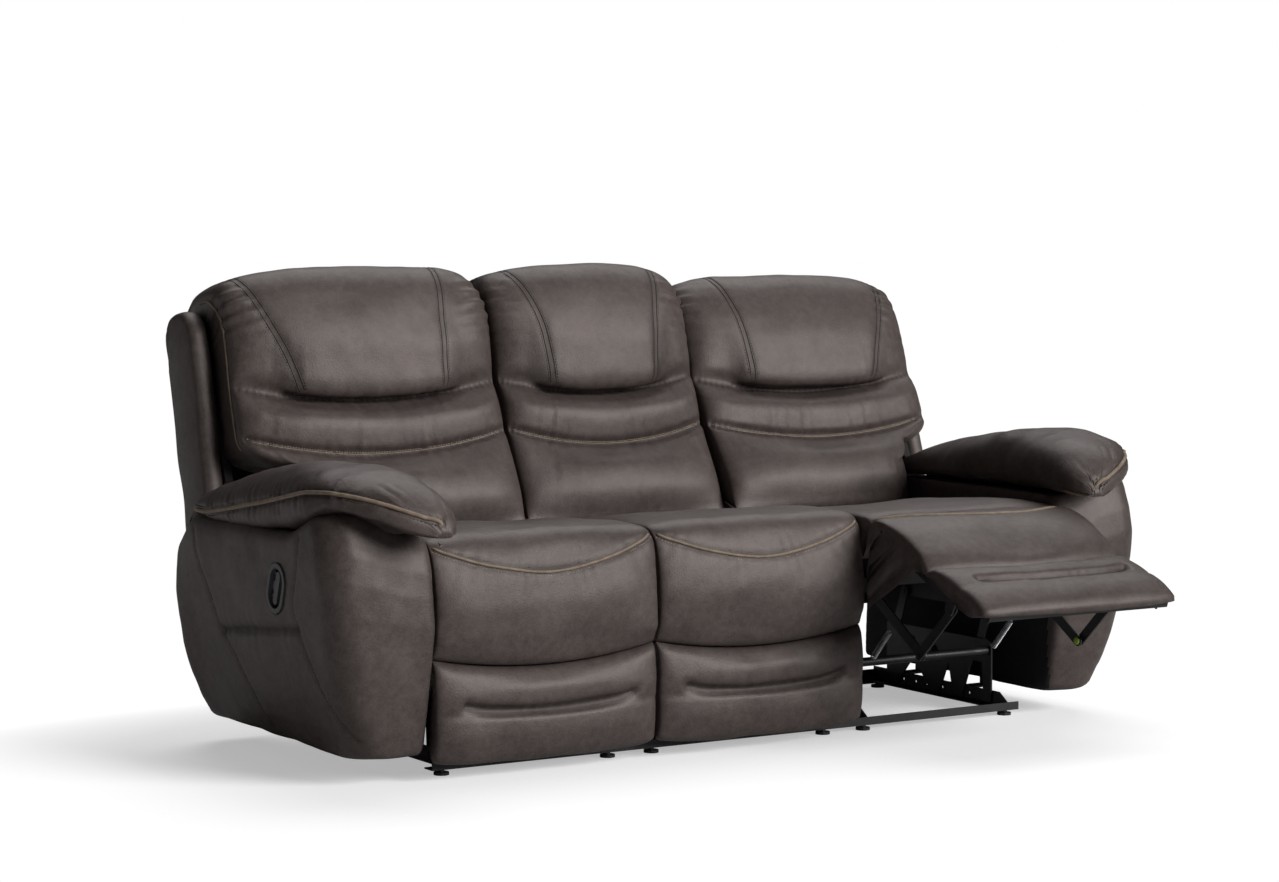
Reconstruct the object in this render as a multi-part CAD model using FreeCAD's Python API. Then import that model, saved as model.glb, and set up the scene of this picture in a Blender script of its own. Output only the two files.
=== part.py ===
import FreeCAD, Part
import math
import os

Vector = FreeCAD.Vector

# Three-seat reclining sofa. Millimetres, +X along the sofa, +Y to its back, +Z up.
# The side profiles below count Y from the line of the front glides, with the seat shut;
# FRAME_Y moves the finished sofa so that its box's bottom centre is the origin.
FRAME_Y = 185.15

# Driving dimensions
SEAT_PITCH = 526.0
CUSHION_HALF = 261.0
PAD_HALF = 259.5
ARM_INNER = 800.0
ARM_OUTER = 1030.0
ARM_REAR = 655.0
ARM_BOTTOM = 55.0
ARM_TOP = 505.0
SEAT_BASE = 388.0
BACK_TOP = 1018.0
BACK_OUTER = 378.0
WING_OUTER = 432.0
FLAP_HALF = 266.0

# Travel of one end seat, in degrees
OPEN_ANGLE = 63.0
OTTOMAN_EXTRA = 7.0
RECLINE_REST = 8.4
SWING_RATIO = 0.46
SWING_LEAN = 10.0
SWING_LENGTH = 100.0

# Pivots of the mechanism with the seat shut, as (y, z)
LEGREST_PIVOT = (-55.0, 470.0)
PARALLEL_OFFSET = (120.0, -113.0)
LINK_REACH = (29.0, -291.0)
DRIVE_PIVOT = (LEGREST_PIVOT[0] + PARALLEL_OFFSET[0], LEGREST_PIVOT[1] + PARALLEL_OFFSET[1])
PUSH_UPPER = (LEGREST_PIVOT[0] + LINK_REACH[0], LEGREST_PIVOT[1] + LINK_REACH[1])
PUSH_LOWER = (PUSH_UPPER[0] + PARALLEL_OFFSET[0], PUSH_UPPER[1] + PARALLEL_OFFSET[1])
OTTOMAN_PIVOT = (-46.0, 240.0)
BACK_PIVOT = (540.0, 380.0)
SWING_BASE_FRONT = (100.0, 148.0)
SWING_BASE_REAR = (420.0, 148.0)

# Plates of the mechanism lie side by side; each pair is (inner, outer) from the seat's middle
BASE_LAYER = (190.0, 194.0)
SWING_LAYER = (196.0, 200.0)
SEAT_LAYER = (204.0, 208.0)
DRIVE_LAYER = (212.0, 216.0)
PUSH_LAYER = (219.0, 223.0)
LUG_LAYER = (225.0, 229.0)
BRACKET_LAYER = (231.0, 235.0)
PIN_RADIUS = 5.0
RUNNING_FIT = 0.08
OPEN_PIVOT_FIT = 0.4
TUBE_RADIUS = 11.0

# Planes that the front pads, their boards and the back frame share
PAD_REAR = -69.0
BOARD_REAR = -57.0
PANEL_THICK = 14.0
FRAME_TOP = 900.0


def swing_top(base, lean=SWING_LEAN):
    """Upper pivot of a swing link that leans back by lean degrees."""
    angle = math.radians(lean)
    return (base[0] + SWING_LENGTH * math.sin(angle), base[1] + SWING_LENGTH * math.cos(angle))


def frame_front(z):
    """Y of the back frame's front edge, where the back cushions end."""
    return 585.0 + 0.33 * (z - 400.0)


def shell_rear(z):
    """Y of the outer back's rear face."""
    return 750.0 + 0.23 * (z - 411.0)


# Outlines and simple solids
def at(x, point):
    return Vector(x, point[0], point[1])


def path_wire(x, start, steps):
    """Closed wire in the plane X = x: a step is a point (line) or a pair of points (arc)."""
    edges = []
    here = start
    for step in list(steps) + [start]:
        if isinstance(step[0], tuple):
            middle, there = step
            edges.append(Part.Arc(at(x, here), at(x, middle), at(x, there)).toShape())
        else:
            there = step
            edges.append(Part.makeLine(at(x, here), at(x, there)))
        here = there
    return Part.Wire(edges)


def side_plate(start, steps, x_from, x_to):
    """A plate across X whose outline is drawn in the side view."""
    return Part.Face(path_wire(x_from, start, steps)).extrude(Vector(x_to - x_from, 0, 0))


def disc(centre, radius, x_from, x_to):
    return Part.makeCylinder(radius, x_to - x_from, at(x_from, centre), Vector(1, 0, 0))


def link_bar(first, second, radius, x_from, x_to):
    """A flat bar with round ends about two pivots."""
    dy, dz = second[0] - first[0], second[1] - first[1]
    length = math.hypot(dy, dz)
    ty, tz = dy / length * radius, dz / length * radius
    start = (first[0] - tz, first[1] + ty)
    steps = [
        (second[0] - tz, second[1] + ty),
        ((second[0] + ty, second[1] + tz), (second[0] + tz, second[1] - ty)),
        (first[0] + tz, first[1] - ty),
        ((first[0] - ty, first[1] - tz), start),
    ]
    edges = []
    here = start
    for step in steps:
        if isinstance(step[0], tuple):
            edges.append(Part.Arc(at(x_from, here), at(x_from, step[0]), at(x_from, step[1])).toShape())
            here = step[1]
        else:
            edges.append(Part.makeLine(at(x_from, here), at(x_from, step)))
            here = step
    return Part.Face(Part.Wire(edges)).extrude(Vector(x_to - x_from, 0, 0))


def box(x, y, z):
    """A box from three (low, high) pairs."""
    size = [pair[1] - pair[0] for pair in (x, y, z)]
    return Part.makeBox(size[0], size[1], size[2], Vector(x[0], y[0], z[0]))


def prism(radius, sides, base, height):
    """An upright prism with a regular outline."""
    corners = [base + Vector(radius * math.cos(2 * math.pi * k / sides),
                             radius * math.sin(2 * math.pi * k / sides), 0) for k in range(sides)]
    return Part.Face(Part.makePolygon(corners + [corners[0]])).extrude(Vector(0, 0, height))


def joined(shapes):
    """One solid from pieces that are welded or moulded as one."""
    whole = shapes[0].fuse(shapes[1:]) if len(shapes) > 1 else shapes[0]
    return whole.removeSplitter()


def both_sides(shape):
    """The shape and its mirror image about the seat's middle plane."""
    return [shape, shape.mirror(Vector(0, 0, 0), Vector(1, 0, 0))]


def loft(wires):
    """A solid through the wires, straight from each one to the next."""
    return Part.makeLoft(wires, True, True)


def eased(t):
    """1 in the middle and 0 at the end of a cushion, flat in the middle; t runs 0 to 1."""
    return math.sqrt(max(0.0, 1.0 - t ** 4))


# Rails and feet
RAIL_HALF = 752.0
RAIL_FRONT = (-10.0, 25.0)
RAIL_REAR = (478.0, 508.0)
RAIL_LOW = 12.0
RAIL_WALL = 3.0
SIDE_RAIL_OUTER = 197.0
SIDE_RAIL_TOP = 50.0
MID_RAIL = 221.0
GLIDE_X = (MID_RAIL, SEAT_PITCH - SIDE_RAIL_OUTER, SEAT_PITCH + SIDE_RAIL_OUTER)
HOLE_Y = (59.0, 131.0, 173.0, 233.0, 293.0, 336.0, 384.0)


def front_rail():
    shelf = box((-RAIL_HALF, RAIL_HALF), RAIL_FRONT, (RAIL_LOW, RAIL_LOW + RAIL_WALL))
    face = box((-RAIL_HALF, RAIL_HALF), (RAIL_FRONT[0], RAIL_FRONT[0] + RAIL_WALL), (RAIL_LOW, 30.0))
    return joined([shelf, face])


def rear_rail():
    shelf = box((-RAIL_HALF, RAIL_HALF), RAIL_REAR, (RAIL_LOW, RAIL_LOW + RAIL_WALL))
    face = box((-RAIL_HALF, RAIL_HALF), (RAIL_REAR[1] - RAIL_WALL, RAIL_REAR[1]), (RAIL_LOW, 42.0))
    return joined([shelf, face])


def glide_feet():
    feet = []
    for x in GLIDE_X:
        for side in (-1, 1):
            for y in (6.0, 492.0):
                pad = prism(16.0, 12, Vector(side * x, y, 0), 6.0)
                nut = prism(7.0, 6, Vector(side * x, y, 6.0), RAIL_LOW - 6.0)
                feet.append(joined([pad, nut]))
    return Part.makeCompound(feet)


def side_rail(outer, holes):
    """An angle on the front and rear rails, with a row of holes in its upright leg."""
    run = (RAIL_FRONT[0] + RAIL_WALL, RAIL_REAR[1] - RAIL_WALL)
    low = RAIL_LOW + RAIL_WALL
    upright = box((outer - RAIL_WALL, outer), run, (low, SIDE_RAIL_TOP))
    shelf = box((outer - 24.0, outer), run, (low, low + RAIL_WALL))
    rail = joined([upright, shelf])
    slope = side_plate((run[0] - 1, 30.0), [(run[0] - 1, 51.0), (run[0] + 30, 51.0)],
                       outer - 4, outer + 1)
    rail = rail.cut(slope)
    for y in holes:
        rail = rail.cut(disc((y, 34.0), 3.5, outer - 5, outer + 1))
    return rail


def side_rails():
    drilled = side_rail(SIDE_RAIL_OUTER, HOLE_Y).translate(Vector(SEAT_PITCH, 0, 0))
    plain = mirrored(side_rail(SIDE_RAIL_OUTER, ())).translate(Vector(SEAT_PITCH, 0, 0))
    rails = both_sides(drilled) + both_sides(plain) + both_sides(side_rail(MID_RAIL, ()))
    return Part.makeCompound(rails)


def mechanism_base():
    """The two standing plates of one mechanism, with their cross tube and lower pivot pins."""
    outline = [(46, 150), ((60, 164), (74, 165)), (446, 165), (446, 24), (404, 24), (342, 92),
               (276, 24), (240, 24), (206, 98), (188, 24), (154, 24), (118, 112), (80, 112), (74, 24)]
    plate = side_plate((46, 24), outline, *BASE_LAYER)
    for window in ((258, 118), (342, 130)):
        plate = plate.cut(disc(window, 13.0, BASE_LAYER[0] - 1, BASE_LAYER[1] + 1))
    pins = [disc(pivot, PIN_RADIUS, BASE_LAYER[0], SWING_LAYER[1] + 1.5)
            for pivot in (SWING_BASE_FRONT, SWING_BASE_REAR)]
    sides = both_sides(joined([plate] + pins))
    return sides + [disc((62, 140), 10.0, -BASE_LAYER[0], BASE_LAYER[0])]


def arm_bracket(y_low):
    """The angle that carries an arm on its side rail; drawn for the right-hand arm."""
    gap = (SIDE_RAIL_OUTER, ARM_INNER - SEAT_PITCH)
    foot = box(gap, (y_low, y_low + 40), (40.0, 44.0))
    web = box((gap[1] - 4, gap[1]), (y_low, y_low + 40), (40.0, 130.0))
    toe = box((gap[0], gap[0] + 4), (y_low, y_low + 40), (22.0, 44.0))
    return joined([foot, web, toe])


# Moving steel of one end seat, shut, about the seat's middle plane
def swing_link(base):
    bar = link_bar(base, swing_top(base), 13.0, *SWING_LAYER)
    for pivot in (base, swing_top(base)):
        bar = bar.cut(disc(pivot, PIN_RADIUS + RUNNING_FIT, SWING_LAYER[0] - 1, SWING_LAYER[1] + 1))
    return Part.makeCompound(both_sides(bar))


def seat_side_plate():
    low, high = SEAT_LAYER
    middle = side_plate((-18, SEAT_BASE), [(500, SEAT_BASE), (512, 352), (462, 318), (452, 236), (102, 236),
                                           (34, 322), (-18, 356)], low, high)
    horn = link_bar((-2, 376), LEGREST_PIVOT, 12.0, low, high)
    tail = link_bar((486, 350), BACK_PIVOT, 16.0, low, high)
    plate = joined([middle, horn, tail])
    plate = plate.cut(link_bar((190, 294), (370, 294), 16.0, low - 1, high + 1))
    plate = plate.cut(disc(DRIVE_PIVOT, TUBE_RADIUS + RUNNING_FIT, low - 1, high + 1))
    pins = []
    for base in (SWING_BASE_FRONT, SWING_BASE_REAR):
        pins.append(disc(swing_top(base), PIN_RADIUS, SWING_LAYER[0] - 1.5, high + 2))
    pins.append(disc(LEGREST_PIVOT, PIN_RADIUS, low, BRACKET_LAYER[1] + 1.5))
    pins.append(disc(BACK_PIVOT, PIN_RADIUS, low, DRIVE_LAYER[1] + 1.5))
    return joined([plate] + pins)


def seat_cross_rails():
    """Wooden front and rear rails of the seat box."""
    half = SEAT_LAYER[0]
    front = box((-half, half), (-18, 38), (330, SEAT_BASE))
    rear = box((-half, half), (470, 500), (330, SEAT_BASE))
    return [front, rear]


def sinuous_spring(x, y_from, y_to, turns=9, swing=22.0, width=4.0):
    """A flat zigzag spring between the front and rear rails."""
    pitch = (y_to - y_from) / turns
    near = [Vector(x - width / 2, y_from, 0)]
    far = [Vector(x + width / 2, y_from, 0)]
    for turn in range(turns):
        side = 1 if turn % 2 == 0 else -1
        middle = y_from + (turn + 0.5) * pitch
        for point, shift in ((near, -width / 2), (far, width / 2)):
            point.append(Vector(x + side * swing + shift, middle - pitch * 0.2, 0))
            point.append(Vector(x + side * swing + shift, middle + pitch * 0.2, 0))
    near.append(Vector(x - width / 2, y_to, 0))
    far.append(Vector(x + width / 2, y_to, 0))
    corners = near + far[::-1]
    face = Part.Face(Part.makePolygon(corners + [corners[0]]))
    spring = face.extrude(Vector(0, 0, width))
    spring.translate(Vector(0, 0, SEAT_BASE - width))
    return spring


def seat_springs():
    return Part.makeCompound([sinuous_spring(x, 38, 470) for x in (-150, -50, 50, 150)])


def drive_arms():
    """The torque tube with an arm at each end, turning in the seat's side plates."""
    low, high = DRIVE_LAYER
    arm = link_bar(DRIVE_PIVOT, PUSH_LOWER, 12.0, low, high)
    boss = disc(DRIVE_PIVOT, 18.0, low, high)
    pin = disc(PUSH_LOWER, PIN_RADIUS, low, PUSH_LAYER[1] + 1.5)
    arms = both_sides(joined([arm, boss, pin]))
    tube = disc(DRIVE_PIVOT, TUBE_RADIUS, -low, low)
    return joined(arms + [tube])


def push_link():
    low, high = PUSH_LAYER
    bar = link_bar(PUSH_LOWER, PUSH_UPPER, 11.0, low, high)
    bar = bar.cut(disc(PUSH_LOWER, PIN_RADIUS + RUNNING_FIT, low - 1, high + 1))
    bar = bar.cut(disc(PUSH_UPPER, PIN_RADIUS + OPEN_PIVOT_FIT, low - 1, high + 1))
    return Part.makeCompound(both_sides(bar))


def legrest_bracket():
    low, high = BRACKET_LAYER
    strip = box((low, high), (BOARD_REAR, -33), (256, 448))
    tail = box((low, high), (BOARD_REAR + 1, -33), (165, 256))
    upper = link_bar((-44, 444), LEGREST_PIVOT, 12.0, low, high)
    lug = disc(PUSH_UPPER, 14.0, low, high)
    plate = joined([strip, tail, upper, lug])
    plate = plate.cut(disc(LEGREST_PIVOT, PIN_RADIUS + RUNNING_FIT, low - 1, high + 1))
    pins = [disc(PUSH_UPPER, PIN_RADIUS, PUSH_LAYER[0] - 1.5, high),
            disc(OTTOMAN_PIVOT, PIN_RADIUS, LUG_LAYER[0] - 1.5, high)]
    return joined([plate] + pins)


def legrest_frame():
    board = box((-240, 240), (PAD_REAR, BOARD_REAR), (262, 440))
    return Part.makeCompound(both_sides(legrest_bracket()) + [board])


def ottoman_frame():
    low, high = LUG_LAYER
    strip = box((low, high), (BOARD_REAR, -45), (60, 240))
    lug = disc(OTTOMAN_PIVOT, 11.0, low, high)
    plate = joined([strip, lug])
    plate = plate.cut(disc(OTTOMAN_PIVOT, PIN_RADIUS + RUNNING_FIT, low - 1, high + 1))
    board = box((-240, 240), (PAD_REAR, BOARD_REAR), (44, 234))
    return Part.makeCompound(both_sides(plate) + [board])


# Soft parts
def seat_section(x, fullness):
    """Side section of a seat cushion: nose round the leg-rest pivot, crowned top."""
    y, z = LEGREST_PIVOT
    radius = 19.0 + 5.0 * fullness
    lean = 0.7 * radius
    steps = [
        ((y - lean, z - lean), (y - radius, z)),
        ((y - lean, z + lean), (y, z + radius)),
        ((200, 466 + 22 * fullness), (465, 412 + 10 * fullness)),
        (470, 396),
        (470, SEAT_BASE),
        (-20, SEAT_BASE),
    ]
    return path_wire(x, (y + 0.4 * radius, z - 0.9165 * radius), steps)


def stations(half, count=3, low=None):
    """X stations of a cushion with its fullness, close together near the drawn-in sides."""
    parts = [1.0, 0.92, 0.7]
    right = [part * half for part in parts[:count]]
    left = [part * (low if low is not None else -half) for part in parts[:count]]
    values = sorted(left + [0.0] + right)
    return [(x, eased(abs(x) / (half if x > 0 else abs(values[0])))) for x in values]


def seat_cushion(slots):
    cushion = loft([seat_section(x, full) for x, full in stations(CUSHION_HALF)])
    if slots:
        y, z = LEGREST_PIVOT
        slot = box((SEAT_LAYER[0] - 3, BRACKET_LAYER[1] + 3.5), (y - 30, 13), (SEAT_BASE - 1, z + 13.5))
        for side in both_sides(slot):
            cushion = cushion.cut(side)
    return cushion


def upper_pad_section(x, fullness):
    """Side section of the pad that hangs from the seat's front edge."""
    steps = [
        ((-100 - 13 * fullness, 345), (-80 - 8 * fullness, 258)),
        ((-76 - 6 * fullness, 252), (PAD_REAR, 250)),
        (PAD_REAR, 445),
        (-74, 452),
    ]
    return path_wire(x, (-84 - 10 * fullness, 462), steps)


def lower_pad_section(x, fullness):
    """Side section of the ottoman pad, with a channel that fades at its ends."""
    channel = -97 + 7 * fullness
    steps = [
        ((-98 - 11 * fullness, 185), (channel, 135)),
        ((-98 - 11 * fullness, 88), (-84 - 4 * fullness, 42)),
        ((-80 - 2 * fullness, 30), (PAD_REAR, 36 - 10 * fullness)),
        (PAD_REAR, 244),
    ]
    return path_wire(x, (-82 - 5 * fullness, 242), steps)


def front_pad(section):
    return loft([section(x, full) for x, full in stations(PAD_HALF)])


def bolster_section(x, fullness):
    """Side section of the back's big lower cushion."""
    pull = 14.0 * (1.0 - fullness)
    steps = [
        ((447 + 1.6 * pull, 540), (529 + 0.4 * pull, 610)),
        (frame_front(610), 610),
        (frame_front(426), 426),
    ]
    return path_wire(x, (452 + pull, 441), steps)


def lumbar_section(x, fullness):
    """Side section of the roll between the two back seams."""
    pull = 10.0 * (1.0 - fullness)
    steps = [
        ((528 + 1.6 * pull, 687), (581 + 0.5 * pull, 737)),
        (frame_front(737), 737),
        (frame_front(614), 614),
    ]
    return path_wire(x, (533 + 0.5 * pull, 614), steps)


def head_section(x, fullness):
    """Side section of the head roll, which overhangs the lumbar roll and rounds over the top."""
    drop = 76.0 * (1.0 - fullness)
    pull = 26.0 * (1.0 - fullness)
    ledge = FRAME_TOP
    rear = shell_rear(ledge)
    steps = [
        ((560 + pull, 756), (556 + pull, 790)),
        ((580 + pull, 905 - 0.5 * drop), (632 + 0.6 * pull, 992 - drop)),
        ((688, BACK_TOP - drop), (758, 1001 - drop)),
        ((rear - 44, 968 - 0.7 * drop), (rear - 2, 925 - 0.15 * drop)),
        (rear, ledge),
        (frame_front(ledge), ledge),
        (frame_front(741), 741),
    ]
    return path_wire(x, (585, 741), steps)


def back_cushion(section, half, low):
    return loft([section(x, full) for x, full in stations(half, 3, low)])


def wing_section(x, inset):
    """Side section of the padded wing beside an end seat's back."""
    steps = [
        (664 + 0.7 * inset, 500 + inset),
        (724, 442 + inset),
        (shell_rear(425) - 4 - inset, 425 + inset),
        (shell_rear(835) - inset, 835),
        ((shell_rear(880) - 12 - inset, 888 - inset), (785, 922 - inset)),
        ((727 + 0.4 * inset, 906 - inset), (702 + inset, 850 - inset)),
    ]
    return path_wire(x, (630 + inset, 522 + 0.4 * inset), steps)


def back_wing():
    thick = WING_OUTER - BACK_OUTER - 4
    start = WING_OUTER - thick
    parts = ((0.0, 6.0), (0.3, 0.0), (0.75, 3.0), (1.0, 22.0))
    return loft([wing_section(start + part * thick, inset) for part, inset in parts])


# Frames inside the back
def back_outline(low):
    """Side view of a back frame's panel from its lower edge up."""
    rear = shell_rear(FRAME_TOP) - PANEL_THICK
    return [(shell_rear(low) - PANEL_THICK, low), (rear, FRAME_TOP), (frame_front(FRAME_TOP), FRAME_TOP)]


def back_frame(outer_stile, hinged):
    stile = (DRIVE_LAYER[1], DRIVE_LAYER[1] + 18)
    panel = side_plate((frame_front(430), 430), [(shell_rear(430) - PANEL_THICK - 40, 405)] +
                       back_outline(405), *stile)
    for z in (550, 760):
        y = (frame_front(z) + shell_rear(z)) / 2
        panel = panel.cut(link_bar((y - 10, z - 30), (y + 10, z + 30), 40.0, stile[0] - 1, stile[1] + 1))
    pieces = both_sides(panel)
    inner = (-stile[0], stile[0])
    between_hinges = (-DRIVE_LAYER[0], DRIVE_LAYER[0])
    for z, span in ((430, between_hinges if hinged else inner), (610, inner), (860, inner)):
        front = frame_front(z + 40)
        pieces.append(box(span, (front, front + 20), (z, z + 40)))
    if outer_stile:
        start = (frame_front(560), 560)
        outline = [(720, 470), (shell_rear(470) - PANEL_THICK, 470)] + back_outline(470)[1:]
        pieces.append(side_plate(start, outline, BACK_OUTER - 14, BACK_OUTER + 4))
        for z in (610, 860):
            front = frame_front(z + 40)
            pieces.append(box((stile[1], BACK_OUTER - 14), (front, front + 20), (z, z + 40)))
    if hinged:
        elbow = (626, 420)
        hinge = joined([link_bar(BACK_PIVOT, elbow, 16.0, *DRIVE_LAYER),
                        link_bar(elbow, (652, 500), 16.0, *DRIVE_LAYER)])
        hinge = hinge.cut(disc(BACK_PIVOT, PIN_RADIUS + RUNNING_FIT, DRIVE_LAYER[0] - 1, DRIVE_LAYER[1] + 1))
        pieces += both_sides(hinge)
    else:
        foot = side_plate((500, 330), [(560, 330), (700, 405), (frame_front(420), 420), (560, SEAT_BASE),
                                       (500, SEAT_BASE)], *DRIVE_LAYER)
        pieces += both_sides(foot)
    return Part.makeCompound(pieces)


def outer_panel(low, high):
    """The upholstered board that closes the back from behind; its lower flap clears the arms."""
    foot, neck, shoulder = 210.0, 430.0, 470.0
    outline = [(shell_rear(FRAME_TOP), FRAME_TOP), (shell_rear(FRAME_TOP) - PANEL_THICK, FRAME_TOP),
               (shell_rear(foot) - PANEL_THICK, foot)]
    panel = side_plate((shell_rear(foot), foot), outline, low, high)
    if high > FLAP_HALF:
        corners = [Vector(FLAP_HALF, 0, foot - 1), Vector(FLAP_HALF, 0, neck), Vector(high + 1, 0, shoulder),
                   Vector(high + 1, 0, foot - 1)]
        notch = Part.Face(Part.makePolygon(corners + [corners[0]])).extrude(Vector(0, 1000, 0))
        panel = panel.cut(notch)
    return panel


# Arms, drawn for the right-hand side of the sofa
def arm_section(z, outer, front, rear):
    """Level section of an arm: flat inner side, rounded front and outer side."""
    inner = ARM_INNER
    nose, heel = 70.0, 30.0
    points = [
        Vector(inner, rear, z), Vector(inner, front + 24, z),
        Vector(inner + 7, front + 7, z), Vector(inner + 24, front, z),
        Vector(outer - nose, front, z),
        Vector(outer - nose * 0.3, front + nose * 0.3, z), Vector(outer, front + nose, z),
        Vector(outer, rear - heel, z),
        Vector(outer - heel * 0.3, rear - heel * 0.3, z), Vector(outer - heel, rear, z),
    ]
    edges = [
        Part.makeLine(points[0], points[1]),
        Part.Arc(points[1], points[2], points[3]).toShape(),
        Part.makeLine(points[3], points[4]),
        Part.Arc(points[4], points[5], points[6]).toShape(),
        Part.makeLine(points[6], points[7]),
        Part.Arc(points[7], points[8], points[9]).toShape(),
        Part.makeLine(points[9], points[0]),
    ]
    return Part.Wire(edges)


ARM_LEVELS = (
    (ARM_BOTTOM, 946.0, -52.0),
    (170.0, 992.0, -80.0),
    (320.0, 1024.0, -104.0),
    (430.0, ARM_OUTER, -92.0),
    (ARM_TOP, 1020.0, -58.0),
)
CAVITY_X = (ARM_INNER, 930.0)
CAVITY_Y = (10.0, 520.0)
CAVITY_Z = (80.0, 430.0)
HANDLE = (130.0, 387.0)
HANDLE_TILT = 18.0
CUP_BACK = 1001.0
CUP_FACE = 1031.0
LEVER_HALF = 21.0
LEVER_PIN = 2.5
HANDLE_TRAVEL = 25.0


def arm_body():
    """The arm's block and the four foam sheets on its outer side, which meet at the handle's cup."""
    body = loft([arm_section(z, outer, front, ARM_REAR) for z, outer, front in ARM_LEVELS])
    corner = side_plate((555, ARM_TOP + 1), [(555, 503), (ARM_REAR + 1, 421), (ARM_REAR + 1, ARM_TOP + 1)],
                        ARM_INNER - 1, ARM_OUTER + 5)
    body = body.cut(corner)
    body = body.cut(box(CAVITY_X, CAVITY_Y, CAVITY_Z))
    sheets = box((CUP_BACK, ARM_OUTER + 5), (-200, 700), (0, ARM_TOP + 1))
    padding = body.common(sheets).cut(cup_outer())
    pieces = [body.cut(sheets)]
    y, z = HANDLE
    for y_pair in ((-200, y), (y, 700)):
        for z_pair in ((0, z), (z, ARM_TOP + 1)):
            pieces.append(padding.common(box((CUP_BACK, ARM_OUTER + 5), y_pair, z_pair)))
    return Part.makeCompound(pieces)


def arm_frame():
    """The wooden box inside an arm; its inner board closes the arm toward the seat."""
    low, high = CAVITY_X
    board = box((low, low + 15), CAVITY_Y, CAVITY_Z)
    front = box((low + 15, high), (CAVITY_Y[0], CAVITY_Y[0] + 22), CAVITY_Z)
    rear = box((low + 15, high), (CAVITY_Y[1] - 22, CAVITY_Y[1]), CAVITY_Z)
    inside = (CAVITY_Y[0] + 22, CAVITY_Y[1] - 22)
    top = box((low + 15, high), inside, (CAVITY_Z[1] - 22, CAVITY_Z[1]))
    sill = box((low + 15, high), inside, (CAVITY_Z[0], CAVITY_Z[0] + 22))
    return [board, front, rear, top, sill]


def pad_section(y, low, high, inner, outer):
    """Cross section of an arm pad: flat under, puffed over."""
    width = outer - inner
    height = high - low
    a = Vector(inner + 8, y, low)
    b = Vector(outer - 8, y, low)
    edges = [
        Part.makeLine(a, b),
        Part.Arc(b, Vector(outer, y, low + 0.3 * height), Vector(outer - 20, y, low + 0.68 * height)).toShape(),
        Part.Arc(Vector(outer - 20, y, low + 0.68 * height), Vector(inner + 0.5 * width, y, high),
                 Vector(inner + 14, y, low + 0.62 * height)).toShape(),
        Part.Arc(Vector(inner + 14, y, low + 0.62 * height), Vector(inner, y, low + 0.3 * height), a).toShape(),
    ]
    return Part.Wire(edges)


# Arm pad: y, top, inner side, outer side
ARM_PAD_STATIONS = (
    (-162.0, 552.0, 806.0, 1000.0),
    (-135.0, 604.0, 795.0, 1030.0),
    (-30.0, 639.0, 792.0, 1038.0),
    (150.0, 639.0, 792.0, 1038.0),
    (548.0, 552.0, 798.0, 1012.0),
)


def arm_pad():
    seam = ARM_TOP + 0.02
    return loft([pad_section(y, seam, high, inner, outer) for y, high, inner, outer in ARM_PAD_STATIONS])


def cup_outline(width, height, x_from, x_to):
    """Upright oval about the handle's centre, tilted with it."""
    y, z = HANDLE
    half = (height - width) / 2
    oval = link_bar((y, z - half), (y, z + half), width / 2, x_from, x_to)
    return oval.rotate(at(x_from, HANDLE), Vector(1, 0, 0), HANDLE_TILT)


def cup_outer():
    bowl = cup_outline(64.0, 92.0, CUP_BACK, CUP_FACE)
    flange = cup_outline(76.0, 104.0, CUP_FACE - 10, CUP_FACE + 6)
    return bowl.fuse(flange)


def lever_pivot():
    """Axis of the lever's barrel before the handle is tilted, as (x, y)."""
    return (CUP_BACK + 18.0, HANDLE[0] + 20.0)


def tilted(shape):
    return shape.rotate(at(CUP_BACK, HANDLE), Vector(1, 0, 0), HANDLE_TILT)


def barrel(radius, length):
    """A cylinder along the lever's axis, centred on the handle."""
    x, y = lever_pivot()
    return Part.makeCylinder(radius, length, Vector(x, y, HANDLE[1] - length / 2), Vector(0, 0, 1))


def handle_bezel():
    """The moulded cup in the arm's side, with a flange, a pocket and two lugs for the lever."""
    bowl = cup_outline(64.0, 92.0, CUP_BACK, CUP_FACE)
    flange = cup_outline(76.0, 104.0, CUP_FACE - 10, CUP_FACE + 1)
    pocket = cup_outline(56.0, 84.0, CUP_BACK + 3, CUP_FACE + 2)
    cup = bowl.fuse(flange).cut(pocket)
    x, y = lever_pivot()
    lugs = [box((CUP_BACK + 2, x + 5), (y - 6, y + 8.5), (HANDLE[1] + z, HANDLE[1] + z + 5.5))
            for z in (LEVER_HALF + 0.4, -LEVER_HALF - 5.9)]
    lugs = [tilted(lug.cut(barrel(LEVER_PIN + RUNNING_FIT, 80.0))) for lug in lugs]
    return joined([cup] + lugs)


def handle_lever():
    """The T-shaped pull: a cross grip near the pocket's middle on a stem from its barrel."""
    y, z = HANDLE
    x = lever_pivot()[0]
    grip = link_bar((y, z - 26), (y, z + 26), 9.0, x, x + 10)
    stem = box((x, x + 7), (y, y + 22), (z - 9, z + 9))
    return tilted(joined([grip, stem, barrel(4.0, 2 * LEVER_HALF), barrel(LEVER_PIN, 2 * LEVER_HALF + 10)]))


def lever_axis(side):
    """A point on a lever's axis and the direction that pulls its grip outward."""
    x, y = lever_pivot()
    angle = math.radians(HANDLE_TILT)
    middle = Vector(x, HANDLE[0] + (y - HANDLE[0]) * math.cos(angle), HANDLE[1] + (y - HANDLE[0]) * math.sin(angle))
    axis = Vector(0, -math.sin(angle), math.cos(angle))
    if side == "left":
        return Vector(-middle.x, middle.y, middle.z), -axis
    return middle, axis


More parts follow.
